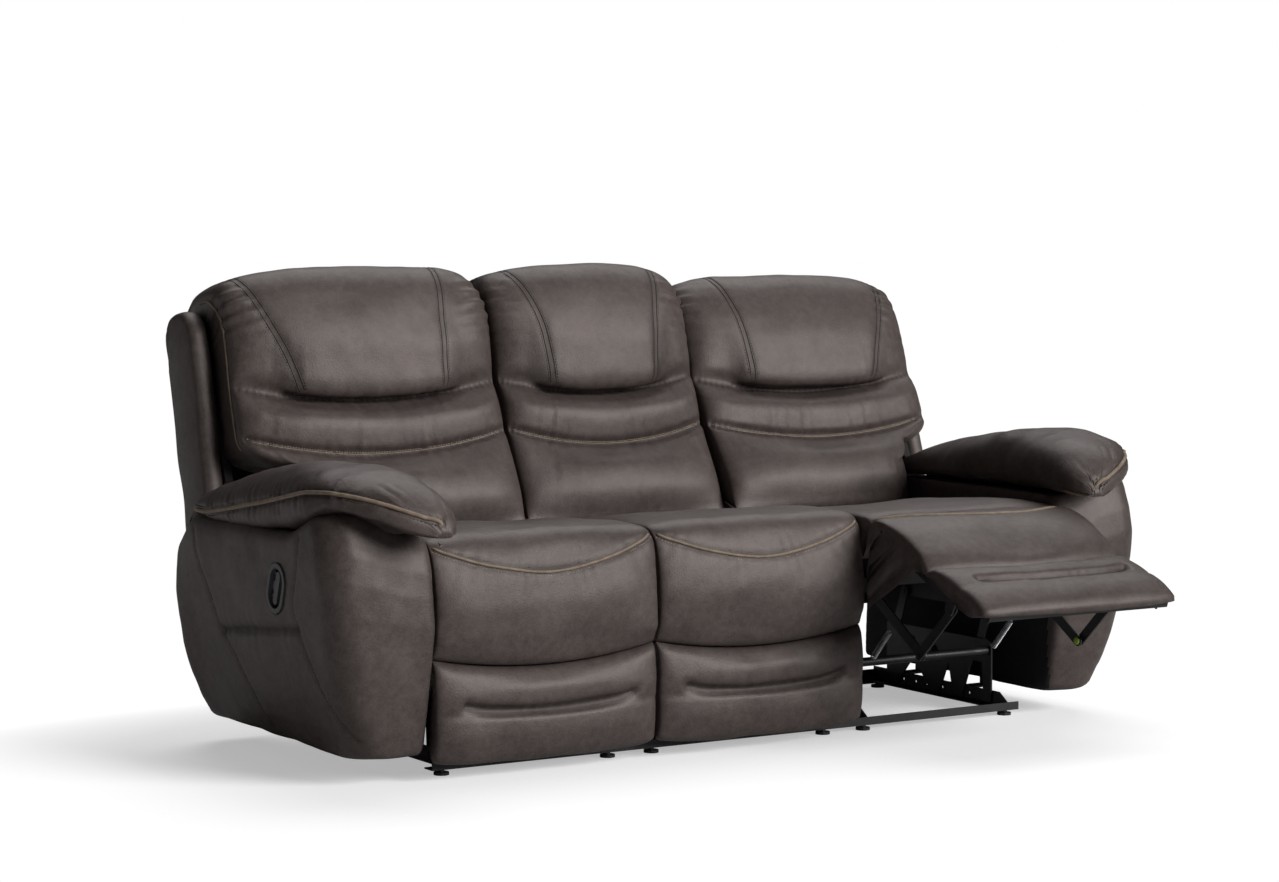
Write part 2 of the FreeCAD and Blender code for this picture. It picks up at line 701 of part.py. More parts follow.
# Fixed middle seat
def mid_seat_frame():
    """Wooden seat box on four steel posts, with the board that carries the fixed front pads."""
    side = (MID_RAIL - 27, MID_RAIL - 3)
    front = box((-side[1], side[1]), (-18, 38), (330, SEAT_BASE))
    rear = box((-side[1], side[1]), (470, 500), (330, SEAT_BASE))
    pieces = [front, rear]
    pieces += both_sides(box(side, (38, 470), (330, SEAT_BASE)))
    for y in (-4, 478):
        pieces += both_sides(box((side[0], side[0] + 21), (y, y + 22), (RAIL_LOW + RAIL_WALL + 3, 330)))
    board = box((-240, 240), (PAD_REAR, BOARD_REAR), (44, 440))
    pieces.append(board)
    pieces += both_sides(box((120, 180), (BOARD_REAR, -18), (330, SEAT_BASE)))
    pieces += both_sides(box((side[0], side[0] + 21), (BOARD_REAR, -4), (60, 90)))
    return Part.makeCompound(pieces)


# Poses
def turned(shape, pivot, degrees):
    """Turned about a level axis through pivot; positive opens the leg rest or lowers the back."""
    return shape.copy().rotate(at(0, pivot), Vector(1, 0, 0), -degrees)


def moved(shape, offset):
    return shape.copy().translate(Vector(0, offset[0], offset[1]))


def seat_shift(opened):
    """How far the seat has gone on its swing links at a leg-rest angle, as (y, z)."""
    shut = swing_top((0, 0))
    now = swing_top((0, 0), SWING_LEAN - SWING_RATIO * opened)
    return (now[0] - shut[0], now[1] - shut[1])


def rotated_point(point, pivot, degrees):
    angle = math.radians(degrees)
    y, z = point[0] - pivot[0], point[1] - pivot[1]
    return (pivot[0] + y * math.cos(angle) + z * math.sin(angle),
            pivot[1] - y * math.sin(angle) + z * math.cos(angle))


def end_seat():
    """Every piece of one end seat, shut, by its body."""
    return {
        "seat": {
            "seat_frame": Part.makeCompound(both_sides(seat_side_plate()) + seat_cross_rails()),
            "seat_springs": seat_springs(),
            "seat_cushion": seat_cushion(True),
        },
        "front_swing": {"front_swing_links": swing_link(SWING_BASE_FRONT)},
        "rear_swing": {"rear_swing_links": swing_link(SWING_BASE_REAR)},
        "drive": {"drive_arms": drive_arms()},
        "push": {"push_links": push_link()},
        "legrest": {
            "legrest_frame": legrest_frame(),
            "legrest_upper_pad": front_pad(upper_pad_section),
        },
        "ottoman": {
            "ottoman_frame": ottoman_frame(),
            "ottoman_pad": front_pad(lower_pad_section),
        },
        "back": {
            "back_frame": back_frame(True, True),
            "back_bolster": back_cushion(bolster_section, CUSHION_HALF, -CUSHION_HALF),
            "back_lumbar_roll": back_cushion(lumbar_section, BACK_OUTER, -CUSHION_HALF),
            "back_head_roll": back_cushion(head_section, BACK_OUTER, -CUSHION_HALF),
            "back_wing": back_wing(),
            "back_outer_panel": outer_panel(-CUSHION_HALF, BACK_OUTER + 4),
        },
    }


def posed(body, shape, opened, recline):
    """A body's piece at a leg-rest angle and a back angle."""
    shift = seat_shift(opened)
    if body == "front_swing":
        return turned(shape, SWING_BASE_FRONT, -SWING_RATIO * opened)
    if body == "rear_swing":
        return turned(shape, SWING_BASE_REAR, -SWING_RATIO * opened)
    if body == "back":
        shape = turned(shape, BACK_PIVOT, recline)
    if body == "ottoman":
        shape = turned(shape, OTTOMAN_PIVOT, opened * OTTOMAN_EXTRA / OPEN_ANGLE)
    if body in ("legrest", "ottoman"):
        shape = turned(shape, LEGREST_PIVOT, opened)
    if body == "drive":
        shape = turned(shape, DRIVE_PIVOT, opened)
    if body == "push":
        there = rotated_point(PUSH_LOWER, DRIVE_PIVOT, opened)
        shape = moved(shape, (there[0] - PUSH_LOWER[0], there[1] - PUSH_LOWER[1]))
    return moved(shape, shift)


def mirrored(shape):
    return shape.mirror(Vector(0, 0, 0), Vector(1, 0, 0))


def all_parts():
    """Every node of the sofa at rest: left seat shut, right seat open and reclined."""
    parts = {
        "front_rail": front_rail(),
        "rear_rail": rear_rail(),
        "glide_feet": glide_feet(),
        "side_rails": side_rails(),
    }
    bases = []
    for side in (-1, 1):
        bases += [shape.copy().translate(Vector(side * SEAT_PITCH, 0, 0)) for shape in mechanism_base()]
    parts["mechanism_bases"] = Part.makeCompound(bases)
    brackets = [arm_bracket(y).translate(Vector(SEAT_PITCH, 0, 0)) for y in (150, 400)]
    parts["arm_brackets"] = Part.makeCompound(brackets + [mirrored(shape) for shape in brackets])

    frames = arm_frame()
    parts["arm_frames"] = Part.makeCompound(frames + [mirrored(shape) for shape in frames])
    for name, shape in (("arm_body", arm_body()), ("arm_pad", arm_pad()),
                        ("handle_bezel", handle_bezel()), ("handle_lever", handle_lever())):
        parts["right_" + name] = shape
        parts["left_" + name] = mirrored(shape)

    for body, pieces in end_seat().items():
        for name, shape in pieces.items():
            right = posed(body, shape, OPEN_ANGLE, RECLINE_REST)
            parts["right_" + name] = right.translate(Vector(SEAT_PITCH, 0, 0))
            parts["left_" + name] = mirrored(shape.copy().translate(Vector(SEAT_PITCH, 0, 0)))

    parts["mid_seat_frame"] = mid_seat_frame()
    parts["mid_seat_springs"] = seat_springs()
    parts["mid_seat_cushion"] = seat_cushion(False)
    parts["mid_front_upper_pad"] = front_pad(upper_pad_section)
    parts["mid_front_lower_pad"] = front_pad(lower_pad_section)
    parts["mid_back_frame"] = back_frame(False, False)
    parts["mid_back_bolster"] = back_cushion(bolster_section, CUSHION_HALF, -CUSHION_HALF)
    parts["mid_back_lumbar_roll"] = back_cushion(lumbar_section, CUSHION_HALF, -CUSHION_HALF)
    parts["mid_back_head_roll"] = back_cushion(head_section, CUSHION_HALF, -CUSHION_HALF)
    parts["mid_back_outer_panel"] = outer_panel(-CUSHION_HALF, CUSHION_HALF)
    return parts


def main():
    os.makedirs("parts", exist_ok=True)
    whole = FreeCAD.BoundBox()
    for name, shape in all_parts().items():
        shape = shape.copy().translate(Vector(0, -FRAME_Y, 0))
        shape.exportStep("parts/" + name + ".step")
        whole.add(shape.optimalBoundingBox(False, False))
        print(name, "solids", len(shape.Solids), "valid", shape.isValid(), "litres", round(shape.Volume / 1e6, 3))
    print("box", [round(value, 2) for value in (whole.XMin, whole.XMax, whole.YMin, whole.YMax,
                                                whole.ZMin, whole.ZMax)])


if __name__ == "__main__":
    main()
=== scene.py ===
import logging
import math
from dataclasses import dataclass, field
from enum import Enum
from typing import Optional, Sequence

import bmesh
import bpy
import numpy as np
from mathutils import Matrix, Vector


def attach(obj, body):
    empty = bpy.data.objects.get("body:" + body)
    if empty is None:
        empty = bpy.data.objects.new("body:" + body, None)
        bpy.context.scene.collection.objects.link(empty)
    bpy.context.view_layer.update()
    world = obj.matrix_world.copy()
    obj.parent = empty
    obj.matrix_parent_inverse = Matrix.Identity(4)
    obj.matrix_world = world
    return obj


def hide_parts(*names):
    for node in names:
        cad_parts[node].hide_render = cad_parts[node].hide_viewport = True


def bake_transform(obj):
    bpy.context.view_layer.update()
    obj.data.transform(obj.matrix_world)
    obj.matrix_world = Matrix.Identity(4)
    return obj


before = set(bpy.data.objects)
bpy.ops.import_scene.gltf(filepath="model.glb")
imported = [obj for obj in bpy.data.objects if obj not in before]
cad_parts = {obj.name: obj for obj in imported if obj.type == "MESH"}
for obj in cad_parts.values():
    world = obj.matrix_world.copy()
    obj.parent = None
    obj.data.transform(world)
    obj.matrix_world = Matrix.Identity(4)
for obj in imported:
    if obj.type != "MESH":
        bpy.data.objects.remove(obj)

log = logging.getLogger("sofa")
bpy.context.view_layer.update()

# Sizes shared with the part's source, in millimetres and degrees
FRAME_Y = 185.15
SEAT_PITCH = 526.0
CUSHION_HALF = 261.0
BACK_OUTER = 378.0
WING_OUTER = 432.0
PAD_HALF = 259.5
LEGREST_PIVOT = (-55.0, 470.0)
OTTOMAN_PIVOT = (-46.0, 240.0)
BACK_PIVOT = (540.0, 380.0)
SWING_LEAN = 10.0
SWING_RATIO = 0.46
SWING_LENGTH = 100.0
OTTOMAN_SHARE = 7.0 / 63.0
SPACING = 6.0
STEEL_WORDS = ("rail", "base", "bracket", "link", "drive", "frame")

Array = np.ndarray


class Zone(Enum):
    """The group of solids that a soft piece belongs to."""

    BASE = "base"
    SEAT = "seat"
    COVER = "cover"
    LEGREST = "legrest"
    OTTOMAN = "ottoman"
    BACK = "back"


def turned(points: Array, pivot: tuple, degrees: float | Array) -> Array:
    """Turns points clockwise in the side view.

    Args:
        points: any array of (x, y, z).
        pivot: (y, z) of the axis.
        degrees: one angle, or one for each point.

    Returns:
        The turned points: y' = y cos a + z sin a and z' = z cos a - y sin a about the pivot.
    """
    angle = np.radians(degrees)
    y, z = points[..., 1] - pivot[0], points[..., 2] - pivot[1]
    return np.stack([points[..., 0], pivot[0] + y * np.cos(angle) + z * np.sin(angle),
                     pivot[1] - y * np.sin(angle) + z * np.cos(angle)], axis=-1)


def smooth(value: Array, low: float, high: float) -> Array:
    """Smooth step from 0 at low to 1 at high."""
    t = np.clip((value - low) / (high - low), 0.0, 1.0)
    return t * t * (3.0 - 2.0 * t)


def bump(value: Array, middle: float, width: float) -> Array:
    """Bell curve exp(-((value - middle) / width)^2)."""
    return np.exp(-((value - middle) / width) ** 2)


@dataclass(frozen=True)
class Place:
    """Where one seat stands and how far it is open; local x runs outward from the seat's middle."""

    name: str
    side: int
    opened: float = 0.0
    recline: float = 0.0

    def body(self, zone: Zone) -> str:
        """Name of the body that a zone of this seat rides on.

        Args:
            zone: part of the seat.

        Returns:
            The body's name in the record.
        """
        if self.side == 0 or zone is Zone.BASE:
            return "base"
        return f"{self.name}_{'seat' if zone is Zone.COVER else zone.value}"

    def shift(self) -> tuple:
        """Travel of the seat on its swing links, as (y, z).

        Returns:
            Millimetres forward and up in the rest pose.
        """
        shut = math.radians(SWING_LEAN)
        now = math.radians(SWING_LEAN - SWING_RATIO * self.opened)
        return (SWING_LENGTH * (math.sin(now) - math.sin(shut)), SWING_LENGTH * (math.cos(now) - math.cos(shut)))

    def row(self, points: Array, zone: Zone) -> Array:
        """Moves shut, local points in millimetres to the sofa's frame in metres.

        Args:
            points: array of (x, y, z).
            zone: the group of solids that the points belong to.

        Returns:
            The points in metres, in the pose that the sofa has at rest.
        """
        points = np.array(points, float)
        if zone is Zone.BACK:
            points = turned(points, BACK_PIVOT, self.recline)
        if zone is Zone.OTTOMAN:
            points = turned(points, OTTOMAN_PIVOT, self.opened * OTTOMAN_SHARE)
        if zone in (Zone.LEGREST, Zone.OTTOMAN):
            points = turned(points, LEGREST_PIVOT, self.opened)
        if zone is Zone.COVER:
            lean = np.degrees(np.arctan2(LEGREST_PIVOT[0] - points[..., 1], points[..., 2] - LEGREST_PIVOT[1]))
            points = turned(points, LEGREST_PIVOT, self.opened * smooth(lean, -10.0, 90.0))
        if zone is not Zone.BASE:
            points = points + np.array([0.0, *self.shift()])
        x = points[..., 0] if self.side == 0 else self.side * (SEAT_PITCH + points[..., 0])
        return np.stack([x, points[..., 1] - FRAME_Y, points[..., 2]], axis=-1) / 1000.0


PLACES = (Place("left", -1), Place("mid", 0), Place("right", 1, 63.0, 8.4))


# Shader writing
class Value:
    """A socket whose operators add Math nodes."""

    def __init__(self, graph: "Graph", socket: bpy.types.NodeSocket) -> None:
        """Keeps the graph and the output socket."""
        self.graph = graph
        self.socket = socket

    def _math(self, operation: str, first: object, second: object) -> "Value":
        """One Math node on two values."""
        return self.graph.add("ShaderNodeMath", {"operation": operation}, {0: first, 1: second})

    def __add__(self, other: object) -> "Value":
        """self + other."""
        return self._math("ADD", self, other)

    def __radd__(self, other: object) -> "Value":
        """other + self."""
        return self._math("ADD", other, self)

    def __sub__(self, other: object) -> "Value":
        """self - other."""
        return self._math("SUBTRACT", self, other)

    def __rsub__(self, other: object) -> "Value":
        """other - self."""
        return self._math("SUBTRACT", other, self)

    def __mul__(self, other: object) -> "Value":
        """self * other."""
        return self._math("MULTIPLY", self, other)

    def __rmul__(self, other: object) -> "Value":
        """other * self."""
        return self._math("MULTIPLY", other, self)

    def over(self, low: float, high: float) -> "Value":
        """0 below low and 1 above high, straight between."""
        return self.graph.add("ShaderNodeMapRange", {}, {"Value": self, "From Min": low, "From Max": high})


class Graph:
    """A material's nodes, added by type."""

    def __init__(self, name: str) -> None:
        """Makes the material with its shader and output.

        Args:
            name: the material's name.
        """
        self.material = bpy.data.materials.new(name)
        self.material.use_nodes = True
        self.tree = self.material.node_tree
        self.shader = self.tree.nodes["Principled BSDF"]

    def add(self, kind: str, settings: dict, inputs: dict, out: object = 0) -> Value:
        """Adds one node.

        Args:
            kind: the node's type name.
            settings: its own properties.
            inputs: socket name or number to a number, a colour or a Value.
            out: which output is wanted.

        Returns:
            The wanted output.
        """
        node = self.tree.nodes.new(kind)
        for key, value in settings.items():
            setattr(node, key, value)
        for key, value in inputs.items():
            self.feed(node.inputs[key], value)
        return Value(self, node.outputs[out])

    def feed(self, socket: bpy.types.NodeSocket, value: object) -> None:
        """Links a Value to a socket, or sets the socket's own number or colour.

        Args:
            socket: input socket.
            value: Value, number or colour.
        """
        if isinstance(value, Value):
            self.tree.links.new(value.socket, socket)
        elif isinstance(value, tuple) and len(value) == 3 and len(socket.default_value) == 4:
            socket.default_value = (*value, 1.0)
        else:
            socket.default_value = value

    def place(self) -> Value:
        """Object coordinates."""
        return self.add("ShaderNodeTexCoord", {}, {}, "Object")

    def noise(self, scale: float, detail: float = 4.0, roughness: float = 0.5) -> Value:
        """Cloudy noise around 0.5."""
        return self.add("ShaderNodeTexNoise", {}, {"Vector": self.place(), "Scale": scale,
                                                   "Detail": detail, "Roughness": roughness})

    def cells(self, scale: float) -> Value:
        """Distance to the nearest cell centre of a pebble pattern."""
        return self.add("ShaderNodeTexVoronoi", {}, {"Vector": self.place(), "Scale": scale})

    def attribute(self, name: str) -> Value:
        """A number stored on the mesh."""
        return self.add("ShaderNodeAttribute", {"attribute_name": name}, {}, "Fac")

    def blend(self, share: object, first: object, second: object) -> Value:
        """Mixes two colours."""
        return self.add("ShaderNodeMix", {"data_type": "RGBA"}, {0: share, 6: first, 7: second}, 2)

    def raise_bumps(self, layers: Sequence[tuple]) -> None:
        """Bumps from (height, distance, strength) layers, one node after another.

        Args:
            layers: tuples of a height, its distance in metres and its strength.
        """
        previous = None
        for height, distance, strength in layers:
            inputs = {"Height": height, "Distance": distance, "Strength": strength}
            if previous is not None:
                inputs["Normal"] = previous
            previous = self.add("ShaderNodeBump", {}, inputs)
        self.feed(self.shader.inputs["Normal"], previous)

    def set(self, **values: object) -> None:
        """Sets the shader's sockets; underscores in the names stand for spaces."""
        for key, value in values.items():
            self.feed(self.shader.inputs[key.replace("_", " ")], value)


@dataclass(frozen=True)
class Leather:
    """Mottled leatherette with a pebbled grain, and painted shade that darkens it along its seams."""

    name: str
    dark: tuple = (0.030, 0.0225, 0.0205)
    light: tuple = (0.094, 0.074, 0.068)
    roughness: float = 0.46

    def material(self) -> bpy.types.Material:
        """Builds the material.

        Returns:
            The finished material.
        """
        graph = Graph(self.name)
        clouds = graph.noise(9.0, 4.0, roughness=0.6)
        streaks = graph.noise(55.0, 5.0, roughness=0.65)
        fleck = graph.noise(240.0, 3.0, roughness=0.6)
        share = (clouds.over(0.30, 0.72) * 0.36 + streaks.over(0.34, 0.68) * 0.38 + fleck.over(0.3, 0.7) * 0.26)
        # Painted shade: the colour is drawn towards near black along seams and grooves, by the strength stored on the
        # mesh.
        seam_shade = graph.attribute("seam_shade")
        colour = graph.blend(share, self.dark, self.light)
        colour = graph.blend(seam_shade.over(0.0, 1.0) * 0.85, colour, (0.006, 0.004, 0.0035))
        pebbles = graph.cells(620.0)
        wide = graph.cells(240.0)
        graph.set(Base_Color=colour, Roughness=self.roughness - 0.06 + fleck * 0.12 + seam_shade * 0.2,
                  Specular_IOR_Level=0.40, Specular_Tint=(1.0, 0.90, 0.86))
        graph.raise_bumps([(pebbles, 0.0005, 0.4), (wide, 0.0006, 0.28), (streaks, 0.0009, 0.25)])
        return graph.material


@dataclass(frozen=True)
class Cord:
    """Tan welt or thread with a fine weave."""

    name: str
    dark: tuple
    light: tuple
    roughness: float = 0.62

    def material(self) -> bpy.types.Material:
        """Builds the material.

        Returns:
            The finished material.
        """
        graph = Graph(self.name)
        wear = graph.noise(60.0, 4.0)
        weave = graph.cells(1400.0)
        colour = graph.blend(wear.over(0.3, 0.7), self.dark, self.light)
        graph.set(Base_Color=graph.blend(weave.over(0.0, 0.7) * 0.35, colour, self.dark),
                  Roughness=self.roughness + wear * 0.1)
        graph.raise_bumps([(weave, 0.0003, 0.4)])
        return graph.material


@dataclass(frozen=True)
class Metal:
    """Painted or bare steel with small scratches and dust."""

    name: str
    colour: tuple
    dust: tuple
    metallic: float
    roughness: float

    def material(self) -> bpy.types.Material:
        """Builds the material.

        Returns:
            The finished material.
        """
        graph = Graph(self.name)
        clouds = graph.noise(30.0, 5.0)
        scratch = graph.add("ShaderNodeTexNoise", {}, {"Vector": graph.add(
            "ShaderNodeMapping", {}, {"Vector": graph.place(), "Scale": (40.0, 900.0, 900.0)}), "Scale": 1.0})
        graph.set(Base_Color=graph.blend(clouds.over(0.35, 0.8), self.colour, self.dust), Metallic=self.metallic,
                  Roughness=self.roughness + scratch * 0.18)
        graph.raise_bumps([(graph.noise(500.0, 2.0), 0.0002, 0.2), (scratch, 0.0001, 0.15)])
        return graph.material


@dataclass(frozen=True)
class Moulded:
    """Moulded plastic with a fine spark texture."""

    name: str
    colour: tuple
    roughness: float

    def material(self) -> bpy.types.Material:
        """Builds the material.

        Returns:
            The finished material.
        """
        graph = Graph(self.name)
        clouds = graph.noise(45.0, 3.0)
        spark = graph.noise(1500.0, 2.0)
        lighter = tuple(min(1.0, 1.35 * part) for part in self.colour)
        graph.set(Base_Color=graph.blend(clouds, self.colour, lighter), Roughness=self.roughness + spark * 0.12)
        graph.raise_bumps([(spark, 0.0002, 0.3)])
        return graph.material


@dataclass(frozen=True)
class Lining:
    """Thin black non-woven cloth."""

    name: str = "black_lining"

    def material(self) -> bpy.types.Material:
        """Builds the material.

        Returns:
            The finished material.
        """
        graph = Graph(self.name)
        weave = graph.cells(900.0)
        fuzz = graph.noise(220.0, 4.0)
        graph.set(Base_Color=graph.blend(fuzz, (0.006, 0.006, 0.007), (0.018, 0.017, 0.018)),
                  Roughness=0.85 + weave * 0.1)
        graph.raise_bumps([(weave, 0.0005, 0.4), (fuzz, 0.001, 0.3)])
        return graph.material


class Finishes:
    """Every material of the sofa, built once."""

    def __init__(self) -> None:
        """Builds the materials."""
        self.leather = Leather("espresso_leatherette").material()
        self.welt = Cord("tan_welt", (0.15, 0.11, 0.075), (0.27, 0.205, 0.145)).material()
        self.tan_thread = Cord("tan_thread", (0.20, 0.15, 0.10), (0.40, 0.31, 0.22)).material()
        self.pale_thread = Cord("pale_thread", (0.20, 0.17, 0.15), (0.36, 0.32, 0.28)).material()
        self.dark_thread = Cord("dark_thread", (0.012, 0.009, 0.008), (0.03, 0.024, 0.022)).material()
        self.black_steel = Metal("black_painted_steel", (0.010, 0.010, 0.011), (0.022, 0.022, 0.024), 0.0,
                                 0.34).material()
        self.bright_steel = Metal("bright_steel", (0.55, 0.56, 0.58), (0.36, 0.36, 0.38), 1.0, 0.26).material()
        self.handle = Moulded("grey_handle_plastic", (0.052, 0.054, 0.058), 0.42).material()
        self.bushing = Moulded("yellow_green_bushing", (0.30, 0.42, 0.04), 0.5).material()
        self.glide = Moulded("black_glide_plastic", (0.012, 0.012, 0.013), 0.5).material()
        self.lining = Lining().material()


# Surfaces
def superellipse(half: float, depth: float, power: float, spacing: float) -> tuple:
    """Even steps along the curve |x|^p + f^p = 1 from x = 0 to x = 1.

    Args:
        half: length that x = 1 stands for.
        depth: length that f = 1 stands for.
        power: p; higher is squarer.
        spacing: wanted step.

    Returns:
        Arrays of x and f.
    """
    angle = np.linspace(0.0, np.pi / 2, 600)
    x, f = np.sin(angle) ** (2.0 / power), np.cos(angle) ** (2.0 / power)
    run = np.concatenate([[0.0], np.cumsum(np.hypot(np.diff(x) * half, np.diff(f) * depth))])
    at = np.linspace(0.0, run[-1], int(run[-1] / spacing) + 2)
    return np.interp(at, run, x), np.interp(at, run, f)


@dataclass(frozen=True)
class Across:
    """Stations across a cushion: local x, share of the half width and fullness."""

    x: Array
    u: Array
    f: Array

    @staticmethod
    def make(low: float, high: float, depth: float, power: float = 3.0, spacing: float = SPACING) -> "Across":
        """Stations from low to high, close together where the sides turn in.

        Args:
            low: first station in millimetres.
            high: last station.
            depth: how far in the sides start to turn.
            power: how tightly they turn.
            spacing: distance of stations in the middle.

        Returns:
            The stations with the fullness f of each.
        """
        left, right = superellipse(-low, depth, power, spacing), superellipse(high, depth, power, spacing)
        u = np.concatenate([-left[0][:0:-1], right[0]])
        f = np.concatenate([left[1][:0:-1], right[1]])
        return Across(np.where(u < 0, -low, high) * u, u, f)


def through(keys: Array, steps: int) -> Array:
    """Catmull-Rom curve: each piece between two keys is a cubic of the four keys round it.

    Args:
        keys: (K, M, D) key points.
        steps: points on each piece.

    Returns:
        The dense points along the first axis, with the last key at the end.
    """
    padded = np.concatenate([2 * keys[:1] - keys[1:2], keys, 2 * keys[-1:] - keys[-2:-1]])
    t = np.linspace(0.0, 1.0, steps, endpoint=False)[:, None, None]
    runs = []
    for i in range(len(keys) - 1):
        a, b, c, d = padded[i:i + 4]
        runs.append(0.5 * (2 * b + (c - a) * t + (2 * a - 5 * b + 4 * c - d) * t ** 2
                           + (3 * b - a - 3 * c + d) * t ** 3))
    return np.concatenate(runs + [keys[-1:]])


def spline(keys: Array, spacing: float) -> Array:
    """Catmull-Rom curve through key points, in even steps.

    Args:
        keys: (K, M, 2): K key points for each of M stations.
        spacing: wanted step at the longest station.

    Returns:
        (N, M, 2) points.
    """
    dense = through(keys, 16)
    steps = np.hypot(*np.moveaxis(np.diff(dense, axis=0), -1, 0))
    run = np.concatenate([np.zeros((1, keys.shape[1])), np.cumsum(steps, axis=0)])
    count = int(run[-1].max() / spacing) + 2
    out = np.empty((count, keys.shape[1], 2))
    for m in range(keys.shape[1]):
        at = np.linspace(0.0, run[-1, m], count)
        out[:, m, 0] = np.interp(at, run[:, m], dense[:, m, 0])
        out[:, m, 1] = np.interp(at, run[:, m], dense[:, m, 1])
    return out


def run_along(line: Array) -> Array:
    """Length along a line from its start to each of its points."""
    return np.concatenate([[0.0], np.cumsum(np.linalg.norm(np.diff(line, axis=0), axis=1))])


def tube_faces(rings: int, sides: int) -> Array:
    """Quads between rings of points, each ring closed on itself.

    Args:
        rings: number of rings.
        sides: points in a ring.

    Returns:
        (F, 4) point numbers.
    """
    i, j = np.meshgrid(np.arange(rings - 1), np.arange(sides), indexing="ij")
    k = (j + 1) % sides
    corners = [i * sides + j, i * sides + k, (i + 1) * sides + k, (i + 1) * sides + j]
    return np.stack(corners, axis=-1).reshape(-1, 4)


def evened(line: Array, spacing: float) -> Array:
    """The line's points at even steps.

    Args:
        line: (N, 3) points.
        spacing: wanted step in millimetres.

    Returns:
        The points, first and last included.
    """
    run = run_along(line)
    at = np.linspace(0.0, run[-1], max(3, int(round(run[-1] / spacing)) + 1))
    return np.stack([np.interp(at, run, line[:, k]) for k in range(3)], axis=1)


def curve(points: Sequence[tuple], spacing: float = 5.0) -> Array:
    """A smooth line through a few points in space."""
    return evened(through(np.array(points, float)[:, None, :], 24)[:, 0], spacing)


def ripple(points: Array, scale: float, seed: int, waves: int = 9) -> Array:
    """Smooth random height in about -1..1: a sum of sines in seeded directions.

    Args:
        points: (..., 3) points.
        scale: length of a wave.
        seed: picks the directions.
        waves: number of sines.

    Returns:
        One number for each point.
    """
    rng = np.random.default_rng(seed)
    total = np.zeros(points.shape[:-1])
    for _ in range(waves):
        direction = rng.normal(size=3)
        direction *= 2 * np.pi / (scale * rng.uniform(0.6, 1.7) * np.linalg.norm(direction))
        total += np.sin(points @ direction + rng.uniform(0, 2 * np.pi))
    return total / math.sqrt(waves)


